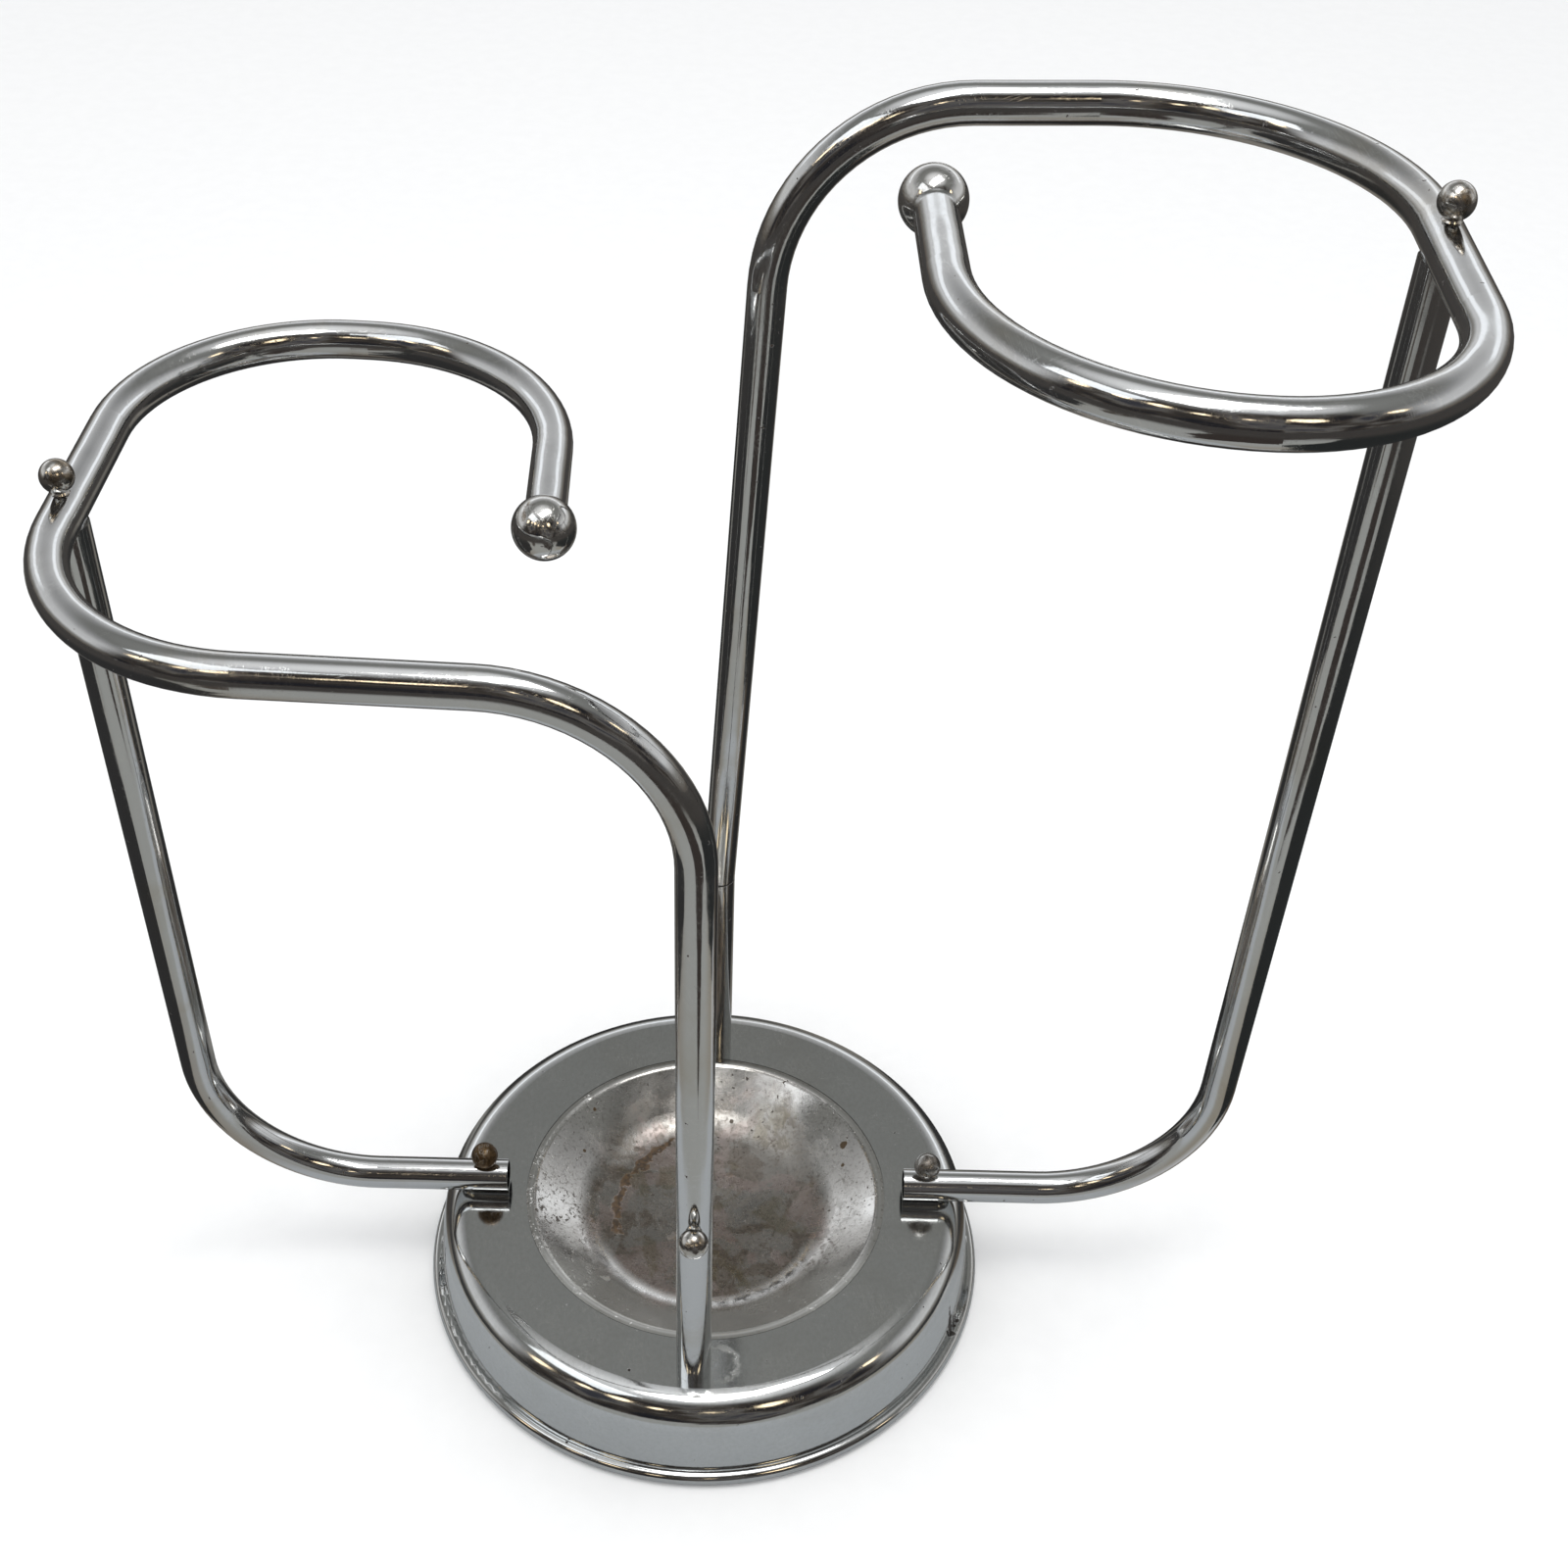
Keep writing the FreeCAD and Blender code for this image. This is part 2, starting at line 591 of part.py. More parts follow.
# Rods inside the posts, each with a threaded stud that passes through the ring.
front_rod_blank = turned_body("front_rod_blank", [
    (None, "stud_bottom", None),
    ("stud_radius", "stud_bottom", None),
    ("stud_radius", "rod_seat", None),
    ("rod_radius", "rod_seat", None),
    ("rod_radius", "rod_top", None),
    (None, "rod_top", None),
])
front_tap = primitive("Part::Cylinder", "front_rod_tap", y="{lock_tap_depth}", z="{short_lock_z}",
                      Radius="{tap_radius}", Height="{tube_radius}")
front_tap.Placement.Rotation = FreeCAD.Rotation(V(1, 0, 0), -90)
front_foot_rod = cut("front_foot_rod", front_rod_blank, front_tap)
front_foot_rod.Placement = FreeCAD.Placement(V(-post_x, -post_y, 0), FreeCAD.Rotation(UP, 180))
bind(front_foot_rod, "Placement.Base.x", "-{post_shift}")
bind(front_foot_rod, "Placement.Base.y", "-{post_offset}")

rear_line = bent_wire([
    V(post_x, post_y, seat_z),
    seam,
    seam + lean_axis * size("rod_height"),
], [size("rod_bend")])
rear_rod = rod_along(rear_line, size("rod_radius"))
stud_length = seat_z + size("over_cut") - size("stud_bottom")
rear_stud = Part.makeCylinder(size("stud_radius"), stud_length, V(post_x, post_y, size("stud_bottom")))
rear_tap = cross_drill(tall_lock + V(0, size("lock_tap_depth"), 0), V(0, 1, 0),
                       size("tap_radius"), tube_r)
rear_foot_rod = keep("rear_foot_rod", rear_rod.fuse(rear_stud).cut(rear_tap).removeSplitter())


# ---------------------------------------------------------------- finials
def finial(name, kind, heading, side):
    """Ball with a turned stem that fits the tube's free end. Side is 1, or -1 for the turned hook."""
    ball = primitive("Part::Sphere", f"{name}_sphere", Radius="{finial_radius}")
    bind(ball, "Angle2", "asin({finial_flat} / {finial_radius})")
    stem = primitive("Part::Cylinder", f"{name}_stem", z="{finial_flat} - {over_cut}",
                     Radius="{rod_radius}", Height="{stem_length}")
    whole = joined(name, [ball, stem])
    whole.Placement = FreeCAD.Placement(V(0, 0, 0), FreeCAD.Rotation(UP, heading * -side))
    bind(whole, "Placement.Base.x", f"{side} * {{{kind}_ball_x}}")
    bind(whole, "Placement.Base.y", f"{side} * {{{kind}_ball_y}}")
    bind(whole, "Placement.Base.z", f"{{{kind}_loop_height}}")
    return whole


short_hook_ball = finial("short_hook_ball", "short", short_heading, -1)
tall_hook_ball = finial("tall_hook_ball", "tall", tall_heading, 1)


# ---------------------------------------------------------------- supports
def support(side, kind, envelope, placement):
    """J-shaped support from the ring up to the far side of a loop, and the plug in its top."""
    body = new_body(f"{side}_support_blank")
    spine = new_sketch(body, f"{side}_spine", "XZ_Plane")
    outline(spine, [
        ("support_end_offset", "support_axis_height", None),
        (f"{side}_support_reach", "support_axis_height", "support_bend"),
        (f"{side}_support_reach", f"{kind}_support_top", None),
    ], closed=False)
    section = new_sketch(body, f"{side}_section", "YZ_Plane")
    bind(section, "AttachmentOffset.Base.z", "{support_end_offset}")
    circle(section, None, "support_axis_height", "tube_radius", "outside")
    circle(section, None, "support_axis_height", "bore_radius", "inside")
    doc.recompute()
    pipe = body.newObject("PartDesign::AdditivePipe", f"{side}_pipe")
    pipe.Profile = section
    pipe.Spine = (spine, [f"Edge{number}" for number in (1, 2, 3)])
    spine.Visibility = False
    section.Visibility = False
    drilled(body, f"{side}_bolt_hole", [("support_bolt_offset", None, "bolt_hole")],
            "{support_axis_height} + {tube_radius} + {over_cut}", "{tube_diameter} + 2 * {over_cut}")
    space = keep(f"{side}_loop_space", envelope)
    tube = cut(f"{side}_support_tube", body, space)
    tube.Placement = placement
    rod = turned_body(f"{side}_plug_blank", [
        (None, f"{kind}_plug_bottom", None),
        ("rod_radius", f"{kind}_plug_bottom", None),
        ("rod_radius", f"{kind}_support_top", None),
        ("tap_radius", f"{kind}_support_top", None),
        ("tap_radius", f"{kind}_tap_bottom", None),
        (None, f"{kind}_tap_bottom", None),
    ])
    bind(rod, "Placement.Base.x", "{%s_support_reach}" % side)
    plug = cut(f"{side}_support_plug", rod, space)
    plug.Placement = placement
    return tube, plug


left_support_tube, left_support_plug = support("left", "short", short_envelope, HALF_TURN)
right_support_tube, right_support_plug = support("right", "tall", tall_envelope, FreeCAD.Placement())


# ---------------------------------------------------------------- ball-headed bolts
def ball_bolt(name, length, x, y, z, toward=UP):
    """Bolt with a ball head. Its origin is where it meets the tube; it points towards its ball."""
    shank = primitive("Part::Cylinder", f"{name}_shank", z=f"-({length})",
                      Radius="{bolt_shank}", Height=f"{length} + {{bolt_collar_height}}")
    collar = primitive("Part::Cone", f"{name}_collar", z="{joint_gap}", Radius1="{bolt_collar}",
                       Radius2="{bolt_collar_top}", Height="{bolt_collar_height}")
    ball = primitive("Part::Sphere", f"{name}_ball", z="{bolt_ball_height}", Radius="{bolt_ball}")
    bolt = joined(name, [shank, collar, ball])
    bolt.Placement = FreeCAD.Placement(V(0, 0, 0), FreeCAD.Rotation(UP, toward))
    bind(bolt, "Placement.Base.x", x)
    bind(bolt, "Placement.Base.y", y)
    bind(bolt, "Placement.Base.z", z)
    return bolt


bolts = [
    ball_bolt("left_support_bolt", "{support_bolt_length}", "-{support_bolt_offset}",
              "{centre}", "{support_axis_height} + {tube_radius}"),
    ball_bolt("right_support_bolt", "{support_bolt_length}", "{support_bolt_offset}",
              "{centre}", "{support_axis_height} + {tube_radius}"),
    ball_bolt("left_top_bolt", "{top_bolt_length}", "-{left_support_reach}",
              "{centre}", "{short_loop_height} + {tube_radius}"),
    ball_bolt("right_top_bolt", "{top_bolt_length}", "{right_support_reach}",
              "{centre}", "{tall_loop_height} + {tube_radius}"),
    ball_bolt("front_lock_screw", "{lock_screw_length}", "-{post_shift}",
              "-{post_offset} - {tube_radius}", "{short_lock_z}", V(0, -1, 0)),
    ball_bolt("rear_lock_screw", "{lock_screw_length}",
              "{post_shift} + {tall_hook_lean} * {lock_height} / ({tall_loop_height} - {seam_height})",
              "{post_offset} + {tube_radius}", "{seam_height} + {lock_height}", V(0, 1, 0)),
]

# ---------------------------------------------------------------- check and write
NODES = [
    foot, bowl, ballast_ring, bottom_plate, plate_screws, felt,
    short_hook_tube, tall_hook_tube, extension, short_hook_ball, tall_hook_ball,
    left_support_tube, right_support_tube, left_support_plug, right_support_plug,
    front_foot_rod, rear_foot_rod, rod_nuts, rod_washers, support_nuts, support_washers,
] + bolts

doc.recompute()
for item in doc.Objects:
    if "Invalid" in item.State or "Error" in item.State:
        raise RuntimeError(f"{item.Name} did not compute: {item.State}")
os.makedirs("parts", exist_ok=True)
for node in NODES:
    if node.Shape.isNull() or not node.Shape.isValid():
        raise RuntimeError(f"{node.Label} has no valid shape")
    node.Shape.exportStep(f"parts/{node.Label}.step")
print(f"{len(NODES)} nodes written")
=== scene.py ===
# %% [markdown]
# # A chromed umbrella stand
# The real object is a pair of open hooks, bent from bright tube, that stand on a round pressed-steel foot
# with a drip bowl in its middle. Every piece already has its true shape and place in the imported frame, so
# this lesson is about what the frame lacks: the camera, the room that bright metal mirrors, and finishes
# that look used. We start by loading the frame and noting how large it is.

# %% Load the frame
import math

import bpy
from mathutils import Matrix, Vector

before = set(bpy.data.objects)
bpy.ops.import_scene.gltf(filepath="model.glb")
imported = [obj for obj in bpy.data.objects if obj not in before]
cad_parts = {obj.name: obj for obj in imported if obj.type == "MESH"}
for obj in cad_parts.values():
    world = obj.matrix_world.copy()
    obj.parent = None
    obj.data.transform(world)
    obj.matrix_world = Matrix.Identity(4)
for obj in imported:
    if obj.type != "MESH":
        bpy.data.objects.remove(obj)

scene = bpy.context.scene
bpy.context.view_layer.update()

# %% [markdown]
# ## Camera
# The stand is looked at from in front and well above, about 43 degrees down, as one looks at a thing on
# the floor while standing near it. A camera matrix could be typed in, but three angles are easier to read:
# yaw turns it left or right, pitch tips it down, and roll tilts the horizon.

# %% Make the camera
CAMERA_PLACE = Vector((0.01295, -0.64293, 0.83699))
YAW, PITCH, ROLL = 0.0123, 0.7439, 0.0335  # radians
LENS, SENSOR = 45.83, 36  # millimetres
SHIFT_X, SHIFT_Y = 0.0173, 0.0761  # the stand sits a little off the middle of the lens

ahead = Vector((math.sin(YAW) * math.cos(PITCH), math.cos(YAW) * math.cos(PITCH), -math.sin(PITCH)))
level_right = Vector((math.cos(YAW), -math.sin(YAW), 0))
level_up = level_right.cross(ahead)
right = level_right * math.cos(ROLL) + level_up * math.sin(ROLL)
up = level_up * math.cos(ROLL) - level_right * math.sin(ROLL)

camera = bpy.data.objects.new("camera", bpy.data.cameras.new("camera"))
scene.collection.objects.link(camera)
rows = [(right[i], up[i], -ahead[i], CAMERA_PLACE[i]) for i in range(3)]
camera.matrix_world = Matrix(rows + [(0, 0, 0, 1)])
camera.data.lens = LENS
camera.data.sensor_width = SENSOR
camera.data.shift_x = SHIFT_X
camera.data.shift_y = SHIFT_Y
camera.data.clip_start = 0.01
scene.camera = camera
print("camera looks", round(math.degrees(PITCH)), "degrees down")

# %% [markdown]
# ## Small helpers for node trees
# A finish in Blender is a tree of nodes. Placing nodes by hand in the editor is quick to try but slow to
# repeat, so a few short functions place them here: one adds a node and fills its sockets, one does sums,
# one blends colours, and one maps a value to a new range. Sums, products and moved or stretched coordinates
# come up so often that they get names of their own.

# %% Node helpers
def put(tree, kind, sockets=None, **settings):
    """Add a node. Sockets maps names or numbers to plain values or to other nodes' outputs."""
    node = tree.nodes.new(kind)
    for name, value in settings.items():
        setattr(node, name, value)
    for name, value in (sockets or {}).items():
        if isinstance(value, bpy.types.NodeSocket):
            tree.links.new(value, node.inputs[name])
        else:
            node.inputs[name].default_value = value
    return node


def sums(tree, operation, *values, clamp=False):
    """Output of a Math node."""
    node = put(tree, "ShaderNodeMath", dict(enumerate(values)), operation=operation, use_clamp=clamp)
    return node.outputs[0]


def plus(tree, first, second, clamp=False):
    """Two values or masks added."""
    return sums(tree, "ADD", first, second, clamp=clamp)


def minus(tree, first, second, clamp=False):
    """The second taken away from the first."""
    return sums(tree, "SUBTRACT", first, second, clamp=clamp)


def times(tree, first, second, clamp=False):
    """Two masks multiplied, so that only the part they share is left."""
    return sums(tree, "MULTIPLY", first, second, clamp=clamp)


def larger(tree, first, second, clamp=False):
    """The larger of two masks, so that either of them shows."""
    return sums(tree, "MAXIMUM", first, second, clamp=clamp)


def moved(tree, place, by):
    """Coordinates shifted by a vector, so that one pattern can be used twice without repeating itself."""
    return put(tree, "ShaderNodeVectorMath", {0: place, 1: by}).outputs[0]


def stretched(tree, place, by):
    """Coordinates multiplied by a vector, which draws a pattern out along an axis."""
    return put(tree, "ShaderNodeVectorMath", {0: place, 1: by}, operation="MULTIPLY").outputs[0]


def length(tree, place):
    """Distance from the origin."""
    return put(tree, "ShaderNodeVectorMath", {0: place}, operation="LENGTH").outputs["Value"]


def blend(tree, factor, first, second, how="MIX"):
    """Output of a colour Mix node."""
    node = put(tree, "ShaderNodeMix", {0: factor, 6: first, 7: second}, data_type="RGBA", blend_type=how)
    return node.outputs[2]


def spread(tree, value, low, high, to_low=0.0, to_high=1.0, smooth=True):
    """Stretch the part of a value between low and high over a new range."""
    node = put(tree, "ShaderNodeMapRange", {"Value": value, "From Min": low, "From Max": high,
               "To Min": to_low, "To Max": to_high})
    node.interpolation_type = "SMOOTHSTEP" if smooth else "LINEAR"
    return node.outputs[0]


def noise(tree, place, scale, detail=3.0, rough=0.55, warp=0.0):
    """Output of a Noise node, a value around one half."""
    node = put(tree, "ShaderNodeTexNoise", {"Vector": place, "Scale": scale, "Detail": detail,
               "Roughness": rough, "Distortion": warp})
    return node.outputs["Fac"]


def grey(level):
    """Opaque grey."""
    return (level, level, level, 1)


# %% [markdown]
# ## The room
# Chrome has no colour of its own: it shows the room. So the room is designed as carefully as the metal.
# The floor is a plain pale sheet. The sky is plain and pale for the eye and for the light it gives, but a
# mirror sees a studio: a bright ceiling, a mid-grey far wall with a long low window, and a dim side behind
# the camera with a few small warm lamps. The Light Path node tells the two apart. Lamps alone could do
# this, but a painted sky gives softer, broader tones.

# %% Empty sky and its directions
scene.view_settings.view_transform = "Standard"
world = bpy.data.worlds.new("studio")
scene.world = world
world.use_nodes = True
sky = world.node_tree
sky.nodes.clear()
direction = put(sky, "ShaderNodeTexCoord").outputs["Generated"]
split = put(sky, "ShaderNodeSeparateXYZ", {0: direction})
_, sky_y, sky_z = split.outputs
print("empty sky with its directions")

# %% [markdown]
# ### Walls
# From the floor up the walls are dark at the skirting, bright over the middle and dim again below the
# ceiling light, all in one colour ramp. The side behind the camera is cluttered and dark, so it is blended
# in by direction. A bend in a tube squeezes all of this into a few thin streaks.

# %% Walls and the dim side
def colour_band(tree, value, stops):
    """Output of a Color Ramp with the given (place, colour) stops."""
    ramp = put(tree, "ShaderNodeValToRGB", {0: value})
    band = ramp.color_ramp
    for at, colour in stops[1:-1]:
        band.elements.new(at).color = colour
    for element, (at, colour) in ((band.elements[0], stops[0]), (band.elements[-1], stops[-1])):
        element.position = at
        element.color = colour
    return ramp.outputs[0]


# places along the ramp run from straight down (0) over the horizon (0.5) to straight up (1)
WALL_TONES = [
    (0.0, grey(0.20)),
    (0.47, (0.14, 0.12, 0.10, 1)),
    (0.54, (0.30, 0.29, 0.27, 1)),
    (0.60, grey(0.80)),
    (0.72, grey(0.70)),
    (0.80, grey(0.38)),
    (0.85, (0.235, 0.236, 0.225, 1)),
    (0.925, (0.285, 0.287, 0.275, 1)),
    (0.965, grey(0.8)),
    (1.0, grey(1.2)),
]
CLUTTER_TONES = [
    (0.38, (0.020, 0.020, 0.024, 1)),
    (0.50, (0.060, 0.050, 0.042, 1)),
    (0.58, (0.16, 0.15, 0.14, 1)),
    (0.66, (0.05, 0.05, 0.06, 1)),
]
WINDOW_LIGHT = (1.35, 1.38, 1.42, 1)
LAMP_LIGHT = (3.0, 2.4, 1.6, 1)
wall = colour_band(sky, sums(sky, "MULTIPLY_ADD", sky_z, 0.5, 0.5), WALL_TONES)
behind = spread(sky, sky_y, -0.10, -0.45)
low_part = spread(sky, sky_z, 0.955, 0.84)
dim = times(sky, behind, low_part)
clutter = noise(sky, direction, 2.6, 2.0)
dim_tone = colour_band(sky, clutter, CLUTTER_TONES)
room = blend(sky, dim, wall, dim_tone)
print("walls of", len(WALL_TONES), "tones")

# %% [markdown]
# ### Window and lamps
# A long low window at the far side and a few small warm lamps behind the camera make the glints. Each lamp
# is a tall oval on the sky, drawn where the direction comes near enough to its own; real lamps would also
# light the stand, and these should only be mirrored.

# %% Window, lamps and the two skies
window = times(sky, spread(sky, sky_z, 0.27, 0.30), spread(sky, sky_z, 0.41, 0.38))
window = times(sky, window, spread(sky, sky_y, 0.45, 0.60))
room = blend(sky, window, room, WINDOW_LIGHT)

# small tall lamps behind the camera: (across, away, up) directions and how wide each one is
LAMPS = [
    ((-0.75, -0.35, 0.56), 0.075),
    ((-0.55, -0.52, 0.62), 0.055),
    ((-0.40, -0.62, 0.66), 0.075),
    ((-0.22, -0.74, 0.60), 0.050),
    ((0.36, -0.66, 0.64), 0.100),
    ((0.05, -0.80, 0.62), 0.035),
    ((0.78, -0.30, 0.56), 0.060),
]
LAMP_SHAPE = (1.0, 1.0, 0.45)
for place, wide in LAMPS:
    aim = Vector(place).normalized()
    off = put(sky, "ShaderNodeVectorMath", {0: direction, 1: aim}, operation="SUBTRACT").outputs[0]
    off = length(sky, stretched(sky, off, LAMP_SHAPE))
    room = blend(sky, spread(sky, off, wide, wide * 0.6), room, LAMP_LIGHT)

mirror_ray = put(sky, "ShaderNodeLightPath").outputs["Is Glossy Ray"]
plain_sky = put(sky, "ShaderNodeBackground", {"Color": (0.93, 0.94, 0.95, 1), "Strength": 1.0})
seen_sky = put(sky, "ShaderNodeBackground", {"Color": room, "Strength": 1.0})
either = put(sky, "ShaderNodeMixShader", {0: mirror_ray, 1: plain_sky.outputs[0], 2: seen_sky.outputs[0]})
put(sky, "ShaderNodeOutputWorld", {0: either.outputs[0]})
print("studio sky with", len(LAMPS), "small lamps")

# %% [markdown]
# ## Soft boxes
# Two large soft boxes hang above: the one overhead draws the white line along every tube, and a weaker one
# behind the left shoulder lights the far wall of the bowl. Area lights are used because their size sets
# how soft a shadow is.

# %% Soft boxes
def soft_box(name, place, wide, deep, power, colour):
    """Rectangular light that faces the middle of the stand."""
    lamp = bpy.data.lights.new(name, "AREA")
    lamp.shape = "RECTANGLE"
    lamp.size = wide
    lamp.size_y = deep
    lamp.energy = power
    lamp.color = colour
    box = bpy.data.objects.new(name, lamp)
    scene.collection.objects.link(box)
    box.location = place
    box.rotation_euler = (Vector((0, 0, 0.2)) - Vector(place)).to_track_quat("-Z", "Y").to_euler()


soft_box("overhead_box", (0.15, -0.15, 2.3), 1.3, 0.6, 15, (1.0, 0.99, 0.97))
soft_box("left_box", (-1.15, -0.65, 2.1), 1.2, 0.7, 4, (0.94, 0.97, 1.0))
print("two soft boxes")

# %% [markdown]
# ## Floor
# The stand rests on a plain pale sheet. It is a grid that rises a little at its far rim, with the faint
# tooth of paper in its bump. In mirrors the sheet looks greyer and, further out, tan and dark like the
# boards around it. Dark wedges, for the things that stand round it, start at a tip and widen outwards: they
# give upright tubes the dark streaks that taper towards the foot.

# %% Floor sheet
def floor_sheet(radius, rings, spokes):
    """Round sheet with its rim swept gently upwards."""
    verts = [(0, 0, 0)]
    faces = []
    for ring in range(1, rings + 1):
        reach = radius * (ring / rings) ** 1.6
        lift = 0.12 * max(0, reach / radius - 0.8) ** 2 * radius
        for spoke in range(spokes):
            turn = 2 * math.pi * spoke / spokes
            verts.append((reach * math.cos(turn), reach * math.sin(turn), lift))
    for spoke in range(spokes):
        after = (spoke + 1) % spokes
        faces.append((0, 1 + spoke, 1 + after))
        for ring in range(rings - 1):
            near = 1 + ring * spokes
            far = near + spokes
            faces.append((near + spoke, far + spoke, far + after, near + after))
    mesh = bpy.data.meshes.new("floor_sheet")
    mesh.from_pydata(verts, [], faces)
    mesh.shade_smooth()
    sheet = bpy.data.objects.new("floor_sheet", mesh)
    scene.collection.objects.link(sheet)
    return sheet


FLOOR_RADIUS = 6.0
floor = floor_sheet(FLOOR_RADIUS, rings=24, spokes=96)
print("floor sheet,", len(floor.data.polygons), "faces")

# %% [markdown]
# ### Paper and boards
# The eye sees pale paper. A mirror sees the boards: one colour ramp runs round the stand by direction, and
# the wedges are laid over it one by one, each by comparing its own width with how far off its direction a
# point lies. Wood planks could be modelled instead, but in a bent tube only their tones are left.

# %% Paper for the eye, boards for the mirrors
paper = bpy.data.materials.new("pale_sheet")
paper.use_nodes = True
tree = paper.node_tree
tree.nodes.clear()
place = put(tree, "ShaderNodeTexCoord").outputs["Object"]
spot = put(tree, "ShaderNodeSeparateXYZ", {0: place})
across, away, _ = spot.outputs
reach = length(tree, place)
turn = sums(tree, "ARCTAN2", across, times(tree, away, -1.0))
tooth = noise(tree, place, 900, 2.0)
pale = blend(tree, spread(tree, noise(tree, place, 60.0), 0.3, 0.7), grey(0.900), grey(0.915))
wander = times(tree, minus(tree, noise(tree, place, 3.0, 1.0), 0.5), 0.5)
turn = plus(tree, turn, wander)
round_it = sums(tree, "MULTIPLY_ADD", turn, 0.5 / math.pi, 0.5)
# places along the ramp run from behind the left side (0) over the front (0.5) to behind the right side (1)
BOARD_TONES = [
    (0.00, grey(0.012)),
    (0.12, (0.016, 0.014, 0.013, 1)),
    (0.15, (0.26, 0.25, 0.23, 1)),
    (0.18, (0.030, 0.026, 0.022, 1)),
    (0.22, (0.050, 0.040, 0.032, 1)),
    (0.25, (0.27, 0.24, 0.20, 1)),
    (0.40, (0.33, 0.33, 0.31, 1)),
    (0.60, (0.35, 0.35, 0.33, 1)),
    (0.70, (0.30, 0.27, 0.22, 1)),
    (0.745, grey(0.55)),
    (0.76, (0.12, 0.09, 0.06, 1)),
    (0.80, (0.014, 0.012, 0.011, 1)),
    (0.90, grey(0.008)),
    (0.94, (0.24, 0.22, 0.19, 1)),
    (1.00, grey(0.012)),
]
DIM_BOARDS = (0.045, 0.038, 0.033, 1)
NEAR_SHEET = (0.44, 0.455, 0.465, 1)
boards = colour_band(tree, round_it, BOARD_TONES)
# dark wedges: direction in radians, nearest point, how fast they widen, half their greatest width, tone
WEDGES = [
    (0.24, 0.315, 1.6, 0.30, (0.030, 0.021, 0.017, 1)),
    (-1.50, 0.28, 4.0, 0.62, (0.018, 0.017, 0.017, 1)),
    (1.42, 0.31, 4.5, 0.66, (0.010, 0.012, 0.012, 1)),
    (-0.62, 0.62, 0.7, 0.12, (0.06, 0.045, 0.035, 1)),
]
for aim, tip, growth, widest, dark in WEDGES:
    aside = sums(tree, "ABSOLUTE", minus(tree, turn, aim))
    half = sums(tree, "MINIMUM", times(tree, minus(tree, reach, tip), growth), widest)
    boards = blend(tree, spread(tree, minus(tree, half, aside), -0.02, 0.03), boards, dark)
boards = blend(tree, spread(tree, reach, 0.75, 1.35), boards, DIM_BOARDS)
rear_part = spread(tree, away, -0.04, 0.08)
far_out = spread(tree, sums(tree, "MULTIPLY_ADD", rear_part, 0.12, reach), 0.22, 0.27)
mirrored_tone = blend(tree, far_out, NEAR_SHEET, boards)
tone = blend(tree, put(tree, "ShaderNodeLightPath").outputs["Is Glossy Ray"], pale, mirrored_tone)
bump = put(tree, "ShaderNodeBump", {"Height": tooth, "Strength": 0.08, "Distance": 0.0004})
shader = put(tree, "ShaderNodeBsdfPrincipled",
             {"Base Color": tone, "Roughness": 0.9, "Normal": bump.outputs[0]})
put(tree, "ShaderNodeOutputMaterial", {0: shader.outputs[0]})
floor.data.materials.append(paper)
print("boards of", len(BOARD_TONES), "tones with", len(WEDGES), "wedges")

# %% [markdown]
# ## Marks that wear leaves
# Old plating shows the same few marks everywhere: pits, hair scratches, cloudy patches, dried water rings
# and dust. Each mark is one node group that gives a mask from 0 to 1, so that every finish below can use
# it at its own scale. Painting them would be exact but would need images; patterns made from noise work
# on any shape.

# %% Group helper
def mark_group(name, inputs, output="Mask"):
    """Empty node group with number inputs, a Vector input and one output. Returns its tree and its ends."""
    group = bpy.data.node_groups.new(name, "ShaderNodeTree")
    group.interface.new_socket("Vector", in_out="INPUT", socket_type="NodeSocketVector")
    for label, value in inputs:
        socket = group.interface.new_socket(label, in_out="INPUT", socket_type="NodeSocketFloat")
        socket.default_value = value
    group.interface.new_socket(output, in_out="OUTPUT", socket_type="NodeSocketFloat")
    entry = group.nodes.new("NodeGroupInput")
    leave = group.nodes.new("NodeGroupOutput")
    return group, entry.outputs, leave.inputs[0]


def use(tree, group, vector, **values):
    """Output of a mark group placed in a tree. Underscores in names stand for spaces."""
    node = put(tree, "ShaderNodeGroup", node_tree=group)
    tree.links.new(vector, node.inputs["Vector"])
    for name, value in values.items():
        node.inputs[name.replace("_", " ").capitalize()].default_value = value
    return node.outputs[0]


# %% [markdown]
# **Pits.** Rust eats small round holes through plating. A cell pattern gives one dot per cell; a random
# share of the cells keeps its dot, each with its own size, and a cloud thins them out in places.

# %% Pits
pits, given, result = mark_group("pits", [("Scale", 400), ("Share", 0.3), ("Gather", 0.5)])
WOBBLE = (0.0022, 0.0022, 0.0022)
wobble = put(pits, "ShaderNodeTexNoise", {"Vector": given["Vector"], "Scale": 900.0, "Detail": 1.0})
warped = moved(pits, given["Vector"], stretched(pits, wobble.outputs["Color"], WOBBLE))
cells = put(pits, "ShaderNodeTexVoronoi", {"Vector": warped, "Scale": given["Scale"]})
chance = put(pits, "ShaderNodeSeparateColor", {0: cells.outputs["Color"]})
gathered = noise(pits, given["Vector"], 55.0, 2.0)
thinned = times(pits, minus(pits, gathered, 0.5), times(pits, given["Gather"], 3.0))
kept = plus(pits, given["Share"], thinned)
keep_dot = sums(pits, "LESS_THAN", chance.outputs[0], kept)
dot_size = sums(pits, "MULTIPLY_ADD", sums(pits, "POWER", chance.outputs[1], 4.0), 0.30, 0.07)
dot = times(pits, minus(pits, dot_size, cells.outputs["Distance"]), 14.0, clamp=True)
pits.links.new(times(pits, dot, keep_dot), result)
print("group pits,", len(pits.nodes), "nodes")

